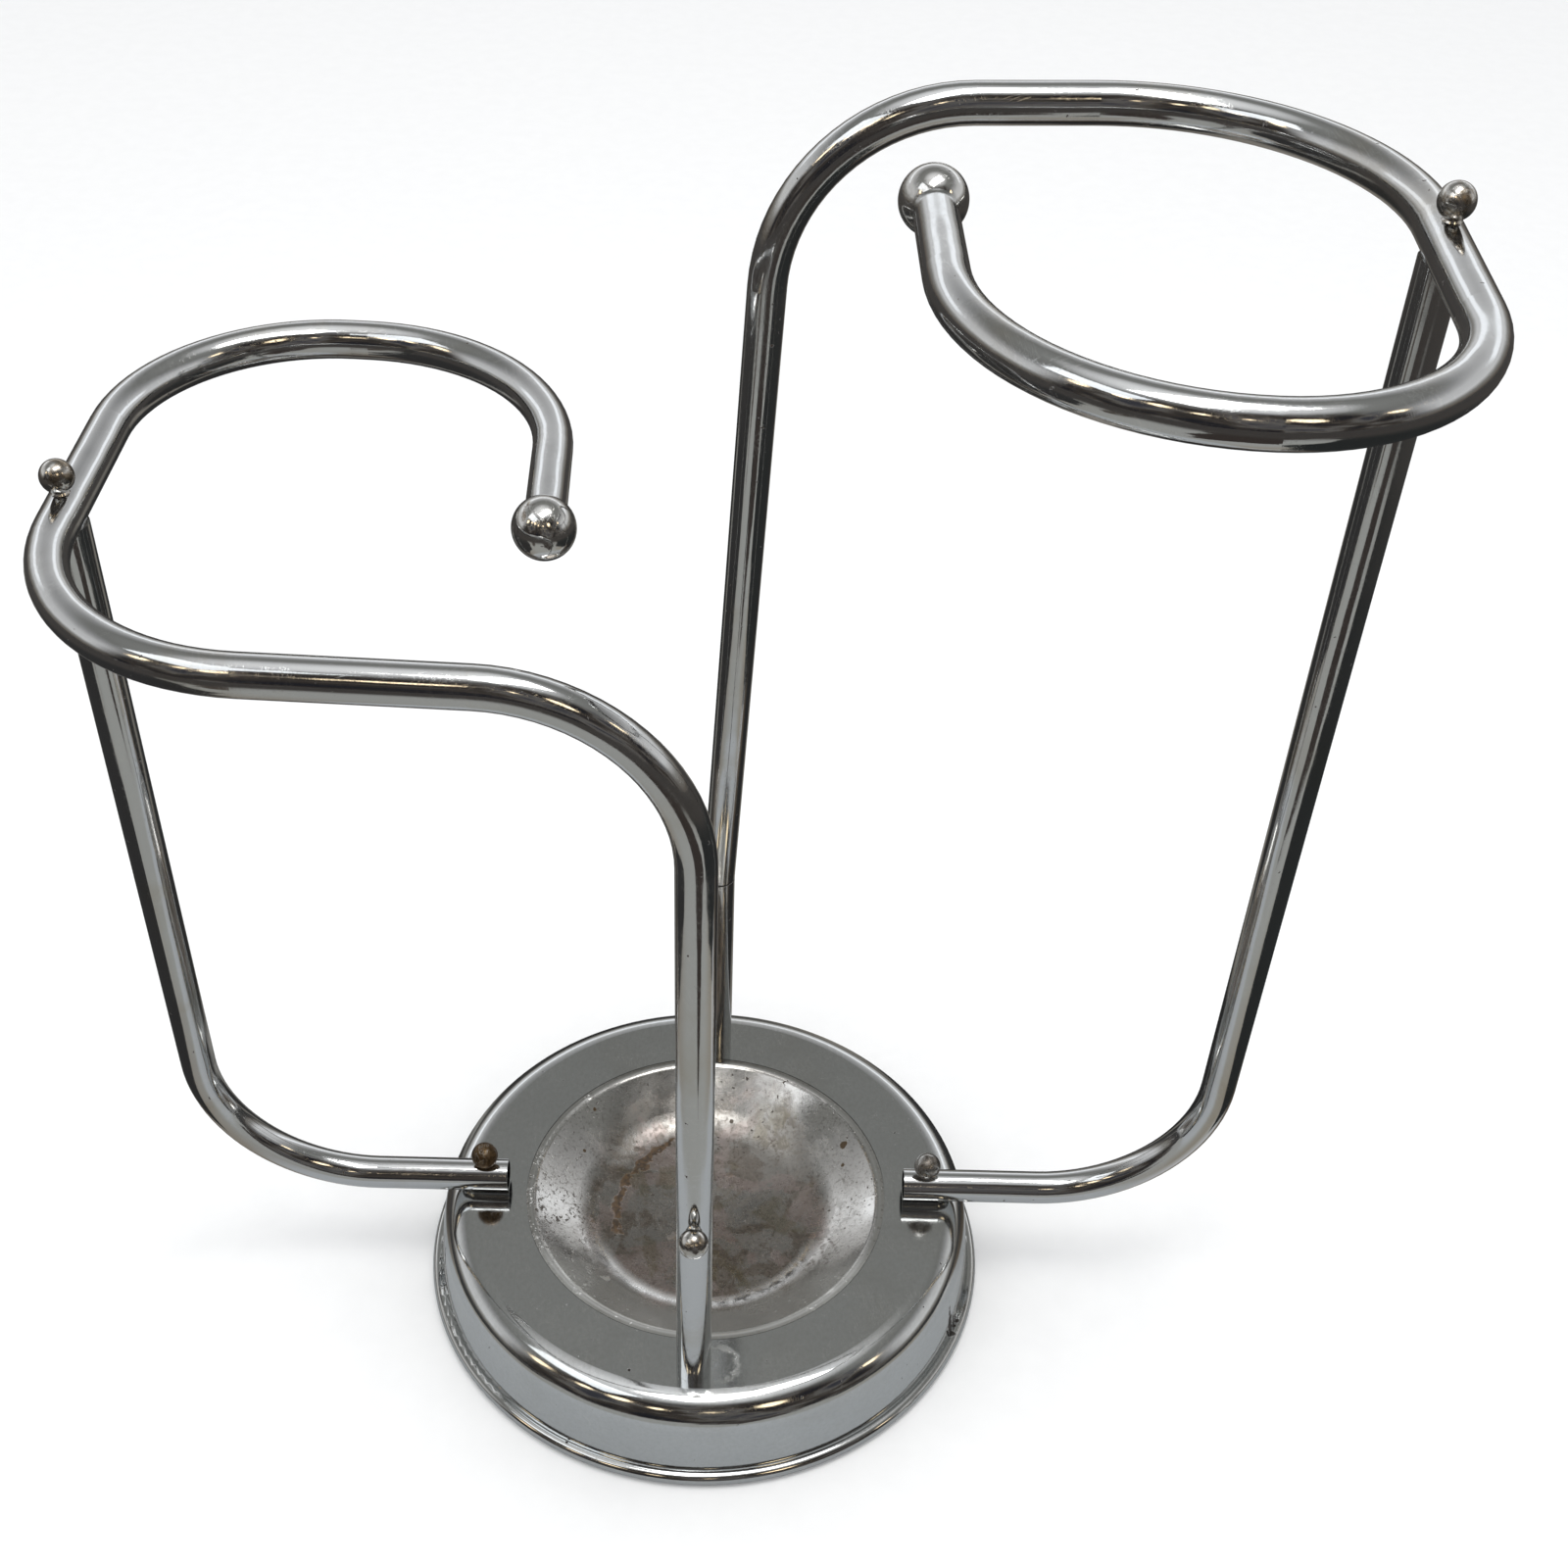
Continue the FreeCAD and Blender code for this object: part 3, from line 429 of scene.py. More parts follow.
# %% [markdown]
# **Hair scratches.** A scratch is a long thin line. Noise drawn out thirty times along one direction and
# cut to a thin level line gives many at once; three directions are laid over each other, and a second
# noise breaks the lines so that none runs on for ever.

# %% Hair scratches
scratches, given, result = mark_group("hair_scratches", [("Scale", 60), ("Amount", 0.5)])
total = None
for number, turned in enumerate([(0.3, 0.5, 0.2), (1.4, 0.2, 1.1), (0.7, 1.9, 2.3)]):
    leaning = put(scratches, "ShaderNodeVectorRotate", {"Vector": given["Vector"], "Rotation": turned},
                  rotation_type="EULER_XYZ")
    drawn = stretched(scratches, leaning.outputs[0], (1.0, 1.0, 0.035))
    field = noise(scratches, drawn, given["Scale"], 3.0, 0.7)
    off_level = sums(scratches, "ABSOLUTE", minus(scratches, field, 0.5 + 0.04 * number))
    line = spread(scratches, off_level, 0.010, 0.002)
    broken = spread(scratches, noise(scratches, given["Vector"], 38.0 + 9 * number, 1.0), 0.50, 0.62)
    kept = times(scratches, line, broken)
    total = kept if total is None else larger(scratches, total, kept)
scratches.links.new(times(scratches, total, given["Amount"]), result)
print("group hair scratches,", len(scratches.nodes), "nodes")

# %% [markdown]
# **Clouds and water rings.** Dull patches are a soft noise between two levels. Where drops dried, only the
# rim of each patch is left, so the water rings are the thin level line of a warped noise.

# %% Clouds and water rings
clouds, given, result = mark_group("clouds", [("Scale", 30), ("Low", 0.45), ("High", 0.6)])
soft = noise(clouds, given["Vector"], given["Scale"], 5.0, 0.6, 0.6)
clouds.links.new(spread(clouds, soft, given["Low"], given["High"]), result)

water_rings, given, result = mark_group("water_rings", [("Scale", 25), ("Width", 0.02)])
pool = noise(water_rings, given["Vector"], given["Scale"], 2.0, 0.5, 1.4)
shore = sums(water_rings, "ABSOLUTE", minus(water_rings, pool, 0.52))
rim = minus(water_rings, 1.0, sums(water_rings, "DIVIDE", shore, given["Width"]), clamp=True)
patchy = spread(water_rings, noise(water_rings, given["Vector"], 31.0, 1.0), 0.42, 0.58)
water_rings.links.new(times(water_rings, rim, patchy), result)
print("groups clouds and water rings")

# %% [markdown]
# ** Round bands and single spots.** Some marks sit at a known place: a rubbed bead or a painted highlight on the
# bowl's rim runs round the foot's axis at one radius, and a chip or stain has a point. One group measures
# the distance from the axis, the other the distance from a point, with its outline made ragged by noise.

# %% Round bands and single spots
round_band, given, result = mark_group("round_band", [("Radius", 0.09), ("Width", 0.001)])
ONTO_FLOOR = (1, 1, 0)
from_axis = length(round_band, stretched(round_band, given["Vector"], ONTO_FLOOR))
away_from = sums(round_band, "ABSOLUTE", minus(round_band, from_axis, given["Radius"]))
faded = sums(round_band, "DIVIDE", away_from, given["Width"])
round_band.links.new(minus(round_band, 1.0, faded, clamp=True), result)

ragged_spot, given, result = mark_group("ragged_spot", [("X", 0), ("Y", 0), ("Size", 0.002), ("Rag", 0.4)])
centre = put(ragged_spot, "ShaderNodeCombineXYZ", {0: given["X"], 1: given["Y"], 2: 0.0})
flat = stretched(ragged_spot, given["Vector"], ONTO_FLOOR)
gap = put(ragged_spot, "ShaderNodeVectorMath", {0: flat, 1: centre.outputs[0]}, operation="DISTANCE")
torn = times(ragged_spot, minus(ragged_spot, noise(ragged_spot, given["Vector"], 350.0), 0.5),
            times(ragged_spot, given["Rag"], 4.0))
share = plus(ragged_spot, sums(ragged_spot, "DIVIDE", gap.outputs["Value"], given["Size"]), torn)
ragged_spot.links.new(spread(ragged_spot, share, 1.15, 0.8), result)
print("groups round band and ragged spot")

# %% [markdown]
# **Ragged lines.** A crack or a creeping rust edge follows a path. The group measures the distance to the
# straight run between two points and tears its outline with noise; runs set end to end make a path.

# %% Ragged lines
ragged_line, given, result = mark_group("ragged_line", [("X", 0), ("Y", 0), ("To x", 0), ("To y", 0),
                                                        ("Size", 0.002), ("Rag", 0.5)])


def apart(first, second, how):
    """Vector Math node inside the ragged line group."""
    return put(ragged_line, "ShaderNodeVectorMath", {0: first, 1: second}, operation=how)


flat = stretched(ragged_line, given["Vector"], ONTO_FLOOR)
sway = put(ragged_line, "ShaderNodeTexNoise", {"Vector": given["Vector"], "Scale": 130.0, "Detail": 3.0})
about_zero = apart(sway.outputs["Color"], (0.5, 0.5, 0.5), "SUBTRACT").outputs[0]
flat = moved(ragged_line, flat, stretched(ragged_line, about_zero, (0.012, 0.012, 0.0)))
start = put(ragged_line, "ShaderNodeCombineXYZ", {0: given["X"], 1: given["Y"], 2: 0.0}).outputs[0]
end = put(ragged_line, "ShaderNodeCombineXYZ", {0: given["To x"], 1: given["To y"], 2: 0.0}).outputs[0]
run = apart(end, start, "SUBTRACT").outputs[0]
reached = apart(flat, start, "SUBTRACT").outputs[0]
along = sums(ragged_line, "DIVIDE", apart(reached, run, "DOT_PRODUCT").outputs["Value"],
             apart(run, run, "DOT_PRODUCT").outputs["Value"], clamp=True)
nearest = put(ragged_line, "ShaderNodeVectorMath", {0: run, "Scale": along}, operation="SCALE").outputs[0]
gap = apart(reached, nearest, "DISTANCE").outputs["Value"]
torn = times(ragged_line, minus(ragged_line, noise(ragged_line, given["Vector"], 260.0, 4.0), 0.5),
            times(ragged_line, given["Rag"], 5.0))
share = plus(ragged_line, sums(ragged_line, "DIVIDE", gap, given["Size"]), torn)
ragged_line.links.new(spread(ragged_line, share, 1.3, 0.5), result)
print("group ragged line,", len(ragged_line.nodes), "nodes")

# %% [markdown]
# **Dust.** It settles only where a surface faces up, so the group multiplies the upward part of the normal
# with fine noise. It takes the surface's position like the others.

# %% Dust
dust, given, result = mark_group("dust", [("Amount", 0.3)])
normal = put(dust, "ShaderNodeNewGeometry").outputs["Normal"]
facing = put(dust, "ShaderNodeSeparateXYZ", {0: normal}).outputs[2]
settled = spread(dust, facing, 0.35, 0.95)
grains = spread(dust, noise(dust, given["Vector"], 700.0, 3.0, 0.7), 0.45, 0.75)
film = spread(dust, noise(dust, given["Vector"], 22.0, 3.0), 0.35, 0.7)
lying = times(dust, settled, times(dust, grains, film))
dust.links.new(times(dust, lying, given["Amount"]), result)
print("group dust")

# %% [markdown]
# **Unevenness.** Bent tube and pressed sheet are never perfectly smooth, and a mirror shows it at once as
# a slight wobble in its reflections. This group gives a height for a Bump node: slow waves plus the fine
# orange-peel of plating.

# %% Unevenness
uneven, given, result = mark_group("unevenness", [("Waves", 40), ("Peel", 0.1)], output="Height")
slow = noise(uneven, given["Vector"], given["Waves"], 1.0)
peel = times(uneven, noise(uneven, given["Vector"], 1400.0, 2.0), given["Peel"])
uneven.links.new(plus(uneven, slow, peel), result)
print("group unevenness")

# %% [markdown]
# ## Finish of the tubes
# Chrome over nickel on furniture tube: almost a mirror, slightly blue-grey, with hair scratches that only
# show where they catch the light, a faint brown haze where hands held it, and tiny pits. The Principled
# shader with Metallic at 1 is a mirror; everything else works through its roughness and a slight bump.
# Most finishes start and end alike, so two helpers do that part.

# %% Start and end of a finish
def new_finish(name):
    """Empty material with its object coordinates ready."""
    finish = bpy.data.materials.new(name)
    finish.use_nodes = True
    finish.node_tree.nodes.clear()
    return finish, finish.node_tree, put(finish.node_tree, "ShaderNodeTexCoord").outputs["Object"]


def close_finish(tree, colour, rough, metal, height, strength, distance):
    """Principled shader and output at the end of a finish."""
    relief = put(tree, "ShaderNodeBump", {"Height": height, "Strength": strength, "Distance": distance})
    shader = put(tree, "ShaderNodeBsdfPrincipled", {"Base Color": colour, "Roughness": rough,
                 "Metallic": metal, "Normal": relief.outputs[0]})
    put(tree, "ShaderNodeOutputMaterial", {0: shader.outputs[0]})


# %% [markdown]
# The three states of the tubes differ only in how far the wear has gone. The lower part of the tall post
# also has a dark line of grime where the upper tube is plugged in.

# %% Tube chrome
def tube_chrome(name, haze_share, scratch_amount, pit_share, grime_from=None):
    """Worn chrome plate; the shares say how far wear has gone. Grime sits above a height if one is given."""
    finish, tree, place = new_finish(name)
    haze = use(tree, clouds, place, scale=17.0, low=0.62 - haze_share, high=0.80)
    lines = use(tree, scratches, place, scale=420.0, amount=scratch_amount)
    long_lines = use(tree, scratches, place, scale=150.0, amount=scratch_amount * 0.5)
    holes = use(tree, pits, place, scale=420.0, share=pit_share, gather=0.5)
    settled = use(tree, dust, place, amount=0.10)
    tone = blend(tree, haze, (0.60, 0.61, 0.615, 1), (0.52, 0.50, 0.455, 1))
    tone = blend(tree, larger(tree, lines, long_lines), tone, (0.74, 0.74, 0.73, 1))
    tone = blend(tree, holes, tone, (0.045, 0.035, 0.028, 1))
    tone = blend(tree, settled, tone, (0.62, 0.60, 0.56, 1))
    rough = spread(tree, haze, 0.0, 1.0, 0.075, 0.17, smooth=False)
    rough = plus(tree, rough, times(tree, larger(tree, lines, long_lines), 0.10))
    rough = plus(tree, rough, times(tree, larger(tree, holes, settled), 0.5), clamp=True)
    metal = minus(tree, 1.0, times(tree, holes, 0.8))
    if grime_from:
        level = put(tree, "ShaderNodeSeparateXYZ", {0: place}).outputs[2]
        grime = spread(tree, level, grime_from, grime_from + 0.0005)
        tone = blend(tree, grime, tone, (0.018, 0.015, 0.012, 1))
        rough = larger(tree, rough, times(tree, grime, 0.7))
        metal = minus(tree, metal, grime, clamp=True)
    waves = use(tree, uneven, place, waves=34.0, peel=0.02)
    height = minus(tree, waves, times(tree, plus(tree, holes, lines), 0.02))
    close_finish(tree, tone, rough, metal, height, 0.30, 0.0012)
    return finish


hook_chrome = tube_chrome("hook_chrome", 0.12, 0.55, 0.02)
support_chrome = tube_chrome("support_chrome", 0.08, 0.45, 0.015)
SEAM_GRIME = 0.1650  # just under the joint of the tall post
lower_post_chrome = tube_chrome("lower_post_chrome", 0.20, 0.4, 0.03, grime_from=SEAM_GRIME)
print("three states of tube chrome")

# %% [markdown]
# ## Finish of the foot
# The ring kept its mirror, but has fine wipe marks and, beside the front post, a dried water ring that is
# rougher and painted with a pale line, a painted highlight. The skirt has a few dark chips where the plating
# broke off, and its bead is rubbed. The chips are single ragged spots at their places; the rest comes from
# the same groups as the tubes, at other scales.

# %% Foot chrome
foot_chrome, tree, place = new_finish("foot_chrome")
haze = use(tree, clouds, place, scale=11.0, low=0.50, high=0.75)
lines = use(tree, scratches, place, scale=520.0, amount=0.8)
# a dried water ring beside the front post, the gap between two spots; its pale line is a painted highlight
puddle_ring_outside = use(tree, ragged_spot, place, x=0.0095, y=-0.1035, size=0.0100, rag=0.14)
puddle_ring_inside = use(tree, ragged_spot, place, x=0.0083, y=-0.1040, size=0.0090, rag=0.18)
puddle_mark_and_highlight = minus(tree, puddle_ring_outside, puddle_ring_inside, clamp=True)
holes = use(tree, pits, place, scale=520.0, share=0.0, gather=0.35)
settled = use(tree, dust, place, amount=0.16)
BEAD_RADIUS = 0.1385
rubbed = use(tree, round_band, place, radius=BEAD_RADIUS, width=0.0022)
# chips in the plate: across, away and size in metres
CHIPS = [
    (0.1275, -0.0470, 0.0016),
    (0.1240, -0.0545, 0.0024),
    (0.1258, -0.0500, 0.0013),
    (-0.0325, -0.1079, 0.0009),
    (0.0480, -0.1180, 0.0006),
    (-0.0620, -0.1215, 0.0007),
    (-0.1290, -0.0310, 0.0008),
]
chips = None
for x, y, wide in CHIPS:
    chip = use(tree, ragged_spot, place, x=x, y=y, size=wide, rag=0.45)
    chips = chip if chips is None else larger(tree, chips, chip)
tone = blend(tree, haze, (0.60, 0.615, 0.62, 1), (0.545, 0.55, 0.54, 1))
tone = blend(tree, times(tree, rubbed, 0.6), tone, (0.40, 0.39, 0.37, 1))
tone = blend(tree, lines, tone, (0.72, 0.72, 0.71, 1))
wiped = noise(tree, stretched(tree, place, (1.0, 0.6, 1.0)), 520.0, 4.0, 0.7)
tone = blend(tree, spread(tree, wiped, 0.35, 0.75, 0.0, 0.26), tone, (0.42, 0.425, 0.41, 1))
# painted highlight: a pale line round the dried water ring
tone = blend(tree, times(tree, puddle_mark_and_highlight, 0.55), tone, (0.85, 0.86, 0.84, 1))
tone = blend(tree, settled, tone, (0.60, 0.58, 0.54, 1))
tone = blend(tree, larger(tree, chips, holes), tone, (0.022, 0.018, 0.015, 1))
rough = spread(tree, haze, 0.0, 1.0, 0.07, 0.14, smooth=False)
marked = plus(tree, times(tree, lines, 0.12), times(tree, puddle_mark_and_highlight, 0.20))
rough = plus(tree, rough, plus(tree, marked, times(tree, settled, 0.5)), clamp=True)
rough = larger(tree, rough, times(tree, larger(tree, chips, holes), 0.75))
metal = minus(tree, 1.0, larger(tree, chips, times(tree, holes, 0.8)))
waves = use(tree, uneven, place, waves=22.0, peel=0.015)
height = minus(tree, waves, times(tree, plus(tree, chips, holes), 0.12))
close_finish(tree, tone, rough, metal, height, 0.30, 0.0012)
print("foot chrome with", len(CHIPS), "chips")

# %% [markdown]
# ## Finish of the drip bowl
# Dripping umbrellas wore this piece most. Its plating has gone dull brown and pinkish over the floor, rust
# has crept out along an old scratch left of the middle, and pits crowd the left wall. The left and right
# walls are painted lighter, a painted reflection. The finish is built as layers, from the plating up: shine,
# dull film, stains, rings, rust, pits. On top come a painted reflection of grey on the near wall, a painted
# highlight along the near side of the knee and one round the rim. The bowl is turned about its own axis, so
# masks by radius say where each layer lies.

# %% Bowl: where things lie
bowl_worn, tree, place = new_finish("bowl_worn")
spot = put(tree, "ShaderNodeSeparateXYZ", {0: place})
bowl_x, bowl_y, _ = spot.outputs
flat = put(tree, "ShaderNodeCombineXYZ", {0: bowl_x, 1: bowl_y, 2: 0.0}).outputs[0]
radius = length(tree, flat)
ragged = times(tree, minus(tree, noise(tree, place, 34.0, 5.0), 0.5), 0.085)
worn_reach = plus(tree, radius, ragged)
on_floor = spread(tree, worn_reach, 0.080, 0.056)
on_wall = spread(tree, radius, 0.058, 0.066)
RIM_RADIUS, KNEE_RADIUS = 0.0878, 0.0568
# painted highlight: a pale band round the bowl's rim, which is also a little smoother
rim = use(tree, round_band, place, radius=RIM_RADIUS, width=0.0011)
# painted reflection: the left and right walls are painted lighter
painted_reflection_sides = spread(tree, sums(tree, "ABSOLUTE", bowl_x), 0.046, 0.062)
far_part = spread(tree, sums(tree, "MULTIPLY_ADD", bowl_x, 0.35, bowl_y), 0.005, 0.060)
far_floor = times(tree, far_part, on_floor)
# painted reflection: the near wall is painted grey and partly not metal, as if it mirrored the ring
near_wall_painted_grey = times(tree, spread(tree, bowl_y, -0.030, -0.052), on_wall)
# painted highlight: a near-white line along the knee, only on the near side
knee_highlight_band = use(tree, round_band, place, radius=KNEE_RADIUS, width=0.0050)
painted_knee_highlight = times(tree, knee_highlight_band, spread(tree, bowl_y, -0.010, -0.035))
print("bowl laid out by radius")

# %% [markdown]
# The stains are cloud masks of different sizes, two of them shifted so that they don't follow the others.
# They cover the floor of the bowl and leave the walls. Water marks and fine grain then go over everything.

# %% Bowl: layers of colour
dull = use(tree, clouds, place, scale=26.0, low=0.34, high=0.60)
brown = use(tree, clouds, place, scale=38.0, low=0.50, high=0.555)
pink = use(tree, clouds, moved(tree, place, (0.3, 0.1, 0.0)), scale=30.0, low=0.525, high=0.57)
olive = use(tree, clouds, moved(tree, place, (0.7, 0.4, 0.2)), scale=34.0, low=0.56, high=0.62)
fine = use(tree, clouds, place, scale=260.0, low=0.45, high=0.58)
tone = blend(tree, dull, (0.50, 0.49, 0.475, 1), (0.36, 0.35, 0.33, 1))
stained = blend(tree, times(tree, brown, 0.75), (0.36, 0.345, 0.325, 1), (0.20, 0.165, 0.135, 1))
stained = blend(tree, times(tree, pink, 0.6), stained, (0.47, 0.385, 0.365, 1))
stained = blend(tree, times(tree, olive, 0.5), stained, (0.21, 0.18, 0.105, 1))
stained = blend(tree, times(tree, fine, 0.5), stained, (0.15, 0.13, 0.11, 1))
tone = blend(tree, on_floor, tone, stained)
# painted reflection: lighter left and right walls
tone = blend(tree, times(tree, times(tree, painted_reflection_sides, on_wall), 0.8), tone, (0.62, 0.615, 0.60, 1))
tone = blend(tree, times(tree, far_floor, 0.2), tone, (0.50, 0.49, 0.475, 1))
shores = use(tree, water_rings, place, scale=24.0, width=0.030)
small_shores = use(tree, water_rings, place, scale=48.0, width=0.030)
shore = larger(tree, shores, times(tree, small_shores, 0.7))
grain = noise(tree, place, 620.0, 3.0, 0.7)
shore = times(tree, shore, sums(tree, "MULTIPLY_ADD", on_floor, 0.7, 0.3))
dried = times(tree, shore, spread(tree, grain, 0.35, 0.65, 0.1, 0.8))
tone = blend(tree, dried, tone, (0.085, 0.062, 0.045, 1))
tone = blend(tree, spread(tree, grain, 0.52, 0.70, 0.0, 0.45), tone, (0.10, 0.088, 0.075, 1))
print("bowl tones")

# %% [markdown]
# The rust streak is a bent path of ragged runs, thick and thin by turns, with a few weaker blots beside it.
# Pits lie thinly all over. On the left wall they crowd, and there two tight clouds, one fine and one coarse,
# make the gnawed patches.

# %% Bowl: rust, pits and spots
RUST_TRAIL = [
    (-0.019, 0.047),
    (-0.026, 0.0425),
    (-0.034, 0.0325),
    (-0.0405, 0.021),
    (-0.0445, 0.007),
    (-0.0455, -0.004),
    (-0.044, -0.012),
]
rust = None
for (x, y), (to_x, to_y) in zip(RUST_TRAIL, RUST_TRAIL[1:]):
    run = use(tree, ragged_line, place, x=x, y=y, to_x=to_x, to_y=to_y, size=0.0021, rag=1.1)
    rust = run if rust is None else larger(tree, rust, run)
RUST_BLOTS = [
    (-0.036, 0.040, 0.0026),
    (-0.0155, -0.014, 0.0028),
    (-0.048, -0.046, 0.0022),
    (0.012, 0.026, 0.0022),
]
for x, y, wide in RUST_BLOTS:
    blot = use(tree, ragged_spot, place, x=x, y=y, size=wide, rag=0.9)
    rust = larger(tree, rust, times(tree, blot, 0.6))
DARK_SPOTS = [
    (0.0704, 0.0360, 0.0020),
    (0.0700, 0.0250, 0.0010),
    (0.012, 0.060, 0.0011),
    (-0.060, 0.055, 0.0010),
    (-0.064, 0.032, 0.0009),
]
spots = None
for x, y, wide in DARK_SPOTS:
    blot = use(tree, ragged_spot, place, x=x, y=y, size=wide, rag=0.3)
    spots = blot if spots is None else larger(tree, spots, blot)
crowd = times(tree, spread(tree, bowl_x, -0.050, -0.066), spread(tree, bowl_y, 0.030, 0.0))
gnawed = times(tree, use(tree, clouds, place, scale=430.0, low=0.545, high=0.575),
              use(tree, clouds, place, scale=80.0, low=0.47, high=0.55))
left_pits = times(tree, gnawed, crowd)
small_pits = use(tree, pits, place, scale=520.0, share=0.26, gather=1.1)
large_pits = use(tree, pits, place, scale=300.0, share=0.05, gather=0.8)
holes = larger(tree, left_pits, larger(tree, small_pits, large_pits))
lines = use(tree, scratches, place, scale=260.0, amount=0.5)
tone = blend(tree, times(tree, lines, 0.6), tone, (0.60, 0.57, 0.53, 1))
DARK_RUST, LIGHT_RUST = (0.032, 0.019, 0.008, 1), (0.088, 0.050, 0.019, 1)
rust_tone = blend(tree, spread(tree, noise(tree, place, 500.0), 0.40, 0.60), DARK_RUST, LIGHT_RUST)
tone = blend(tree, times(tree, rust, 0.95), tone, rust_tone)
tone = blend(tree, spots, tone, (0.055, 0.036, 0.018, 1))
tone = blend(tree, times(tree, holes, 0.92), tone, (0.030, 0.020, 0.014, 1))
# painted reflection: grey over the near wall
tone = blend(tree, times(tree, near_wall_painted_grey, 0.45), tone, (0.36, 0.37, 0.345, 1))
# painted highlight along the near knee
tone = blend(tree, times(tree, painted_knee_highlight, minus(tree, 1.0, holes)), tone, (0.92, 0.92, 0.91, 1))
# painted highlight round the rim
tone = blend(tree, rim, tone, (0.66, 0.66, 0.65, 1))
print("bowl has a rust trail of", len(RUST_TRAIL) - 1, "runs and", len(DARK_SPOTS), "dark spots")

# %% [markdown]
# Where the plating has gone, the bowl is rough and no longer a metal; under the painted highlights along the
# rim and the near knee it is smoother than the rest, and the painted grey of the near wall is partly not
# metal. The same masks as above decide, so colour and shine always agree.

# %% Bowl: shine and relief
rough = spread(tree, dull, 0.0, 1.0, 0.10, 0.16, smooth=False)
rough = plus(tree, rough, times(tree, on_floor, spread(tree, fine, 0.0, 1.0, 0.07, 0.20, smooth=False)))
rough = plus(tree, rough, times(tree, larger(tree, shore, lines), 0.10))
rough = plus(tree, rough, times(tree, far_floor, 0.14))
rough = larger(tree, rough, times(tree, larger(tree, rust, holes), 0.8))
rough = minus(tree, rough, times(tree, larger(tree, rim, painted_knee_highlight), 0.16), clamp=True)
decay = larger(tree, times(tree, rust, 0.85), larger(tree, holes, spots))
# the painted grey of the near wall also takes away some of its metal
film = plus(tree, decay, times(tree, near_wall_painted_grey, 0.30))
metal = minus(tree, 1.0, film, clamp=True)
waves = use(tree, uneven, place, waves=60.0, peel=0.10)
height = plus(tree, times(tree, waves, 0.5), times(tree, rust, 0.10))
height = minus(tree, height, times(tree, holes, 0.30))
close_finish(tree, tone, rough, metal, height, 0.45, 0.0010)
print("bowl finish,", len(tree.nodes), "nodes")

# %% [markdown]
# ## Finish of the balls
# The two large finials and the small bolt heads were turned and plated. They are the brightest pieces,
# with pits where sweat got through. One bolt is badly pitted and one has lost its plating and shows
# tarnished brass. One function makes all four states from a tone for the plate, a tone for what shows
# through, and the share that is gone.

# %% Balls
def ball_finish(name, plate, under, gone, rough_low, rough_high, pit_share):
    """Plated ball; the more of the plate is gone, the more of the darker metal under it shows."""
    finish, tree, place = new_finish(name)
    lost = use(tree, clouds, place, scale=120.0, low=0.78 - gone, high=0.86 - gone * 0.8)
    mottled = use(tree, clouds, place, scale=420.0, low=0.40, high=0.62)
    holes = use(tree, pits, place, scale=520.0, share=pit_share, gather=0.6)
    lines = use(tree, scratches, place, scale=700.0, amount=0.7)
    settled = use(tree, dust, place, amount=0.12)
    deep = tuple(channel * 0.35 for channel in under[:3]) + (1,)
    shown = blend(tree, times(tree, mottled, 0.8), under, deep)
    tone = blend(tree, lost, plate, shown)
    tone = blend(tree, lines, tone, (0.76, 0.75, 0.72, 1))
    tone = blend(tree, settled, tone, (0.60, 0.57, 0.52, 1))
    tone = blend(tree, holes, tone, (0.030, 0.022, 0.015, 1))
    rough = spread(tree, lost, 0.0, 1.0, rough_low, rough_high, smooth=False)
    rough = plus(tree, rough, times(tree, larger(tree, lines, mottled), 0.05))
    rough = larger(tree, rough, times(tree, holes, 0.7), clamp=True)
    metal = minus(tree, 1.0, times(tree, holes, 0.85))
    waves = use(tree, uneven, place, waves=110.0, peel=0.05)
    height = minus(tree, waves, times(tree, plus(tree, holes, lines), 0.12))
    close_finish(tree, tone, rough, metal, height, 0.25, 0.0006)
    return finish


# tone of the plate, tone under it, share gone, roughness of plate and of what is under it, share of pits
finial_chrome = ball_finish("finial_chrome", (0.62, 0.62, 0.61, 1), (0.34, 0.30, 0.25, 1),
                            0.20, 0.06, 0.20, 0.03)
ball_chrome = ball_finish("ball_chrome", (0.60, 0.59, 0.57, 1), (0.30, 0.25, 0.19, 1),
                          0.30, 0.09, 0.28, 0.08)
pitted_chrome = ball_finish("pitted_chrome", (0.52, 0.52, 0.51, 1), (0.20, 0.18, 0.16, 1),
                            0.42, 0.14, 0.42, 0.30)
ball_tarnished = ball_finish("ball_tarnished", (0.30, 0.22, 0.13, 1), (0.13, 0.085, 0.045, 1),
                             0.55, 0.24, 0.46, 0.22)
print("four finishes for balls")

# %% [markdown]
# ## Hidden metal
# Inside and underneath are plain parts: turned steel rods, zinc-plated nuts, a rough casting. Each still
# gets its own finish, because the foot can be turned over. Turned steel shows fine rings from the tool,
# zinc has large pale crystals, and cast iron is black and grainy.

# %% Turned steel and bottom plate
bare_steel, tree, place = new_finish("bare_steel")
spot = put(tree, "ShaderNodeSeparateXYZ", {0: place})
tool_rings = sums(tree, "SINE", sums(tree, "MULTIPLY_ADD", spot.outputs[2], 9000.0,
                                     times(tree, noise(tree, place, 60.0), 6.0)))
oil = use(tree, clouds, place, scale=70.0, low=0.42, high=0.62)
specks = use(tree, pits, place, scale=320.0, share=0.12, gather=0.6)
lines = use(tree, scratches, place, scale=300.0, amount=0.8)
tone = blend(tree, oil, (0.44, 0.44, 0.43, 1), (0.27, 0.25, 0.22, 1))
tone = blend(tree, lines, tone, (0.62, 0.62, 0.60, 1))
tone = blend(tree, specks, tone, (0.17, 0.085, 0.035, 1))
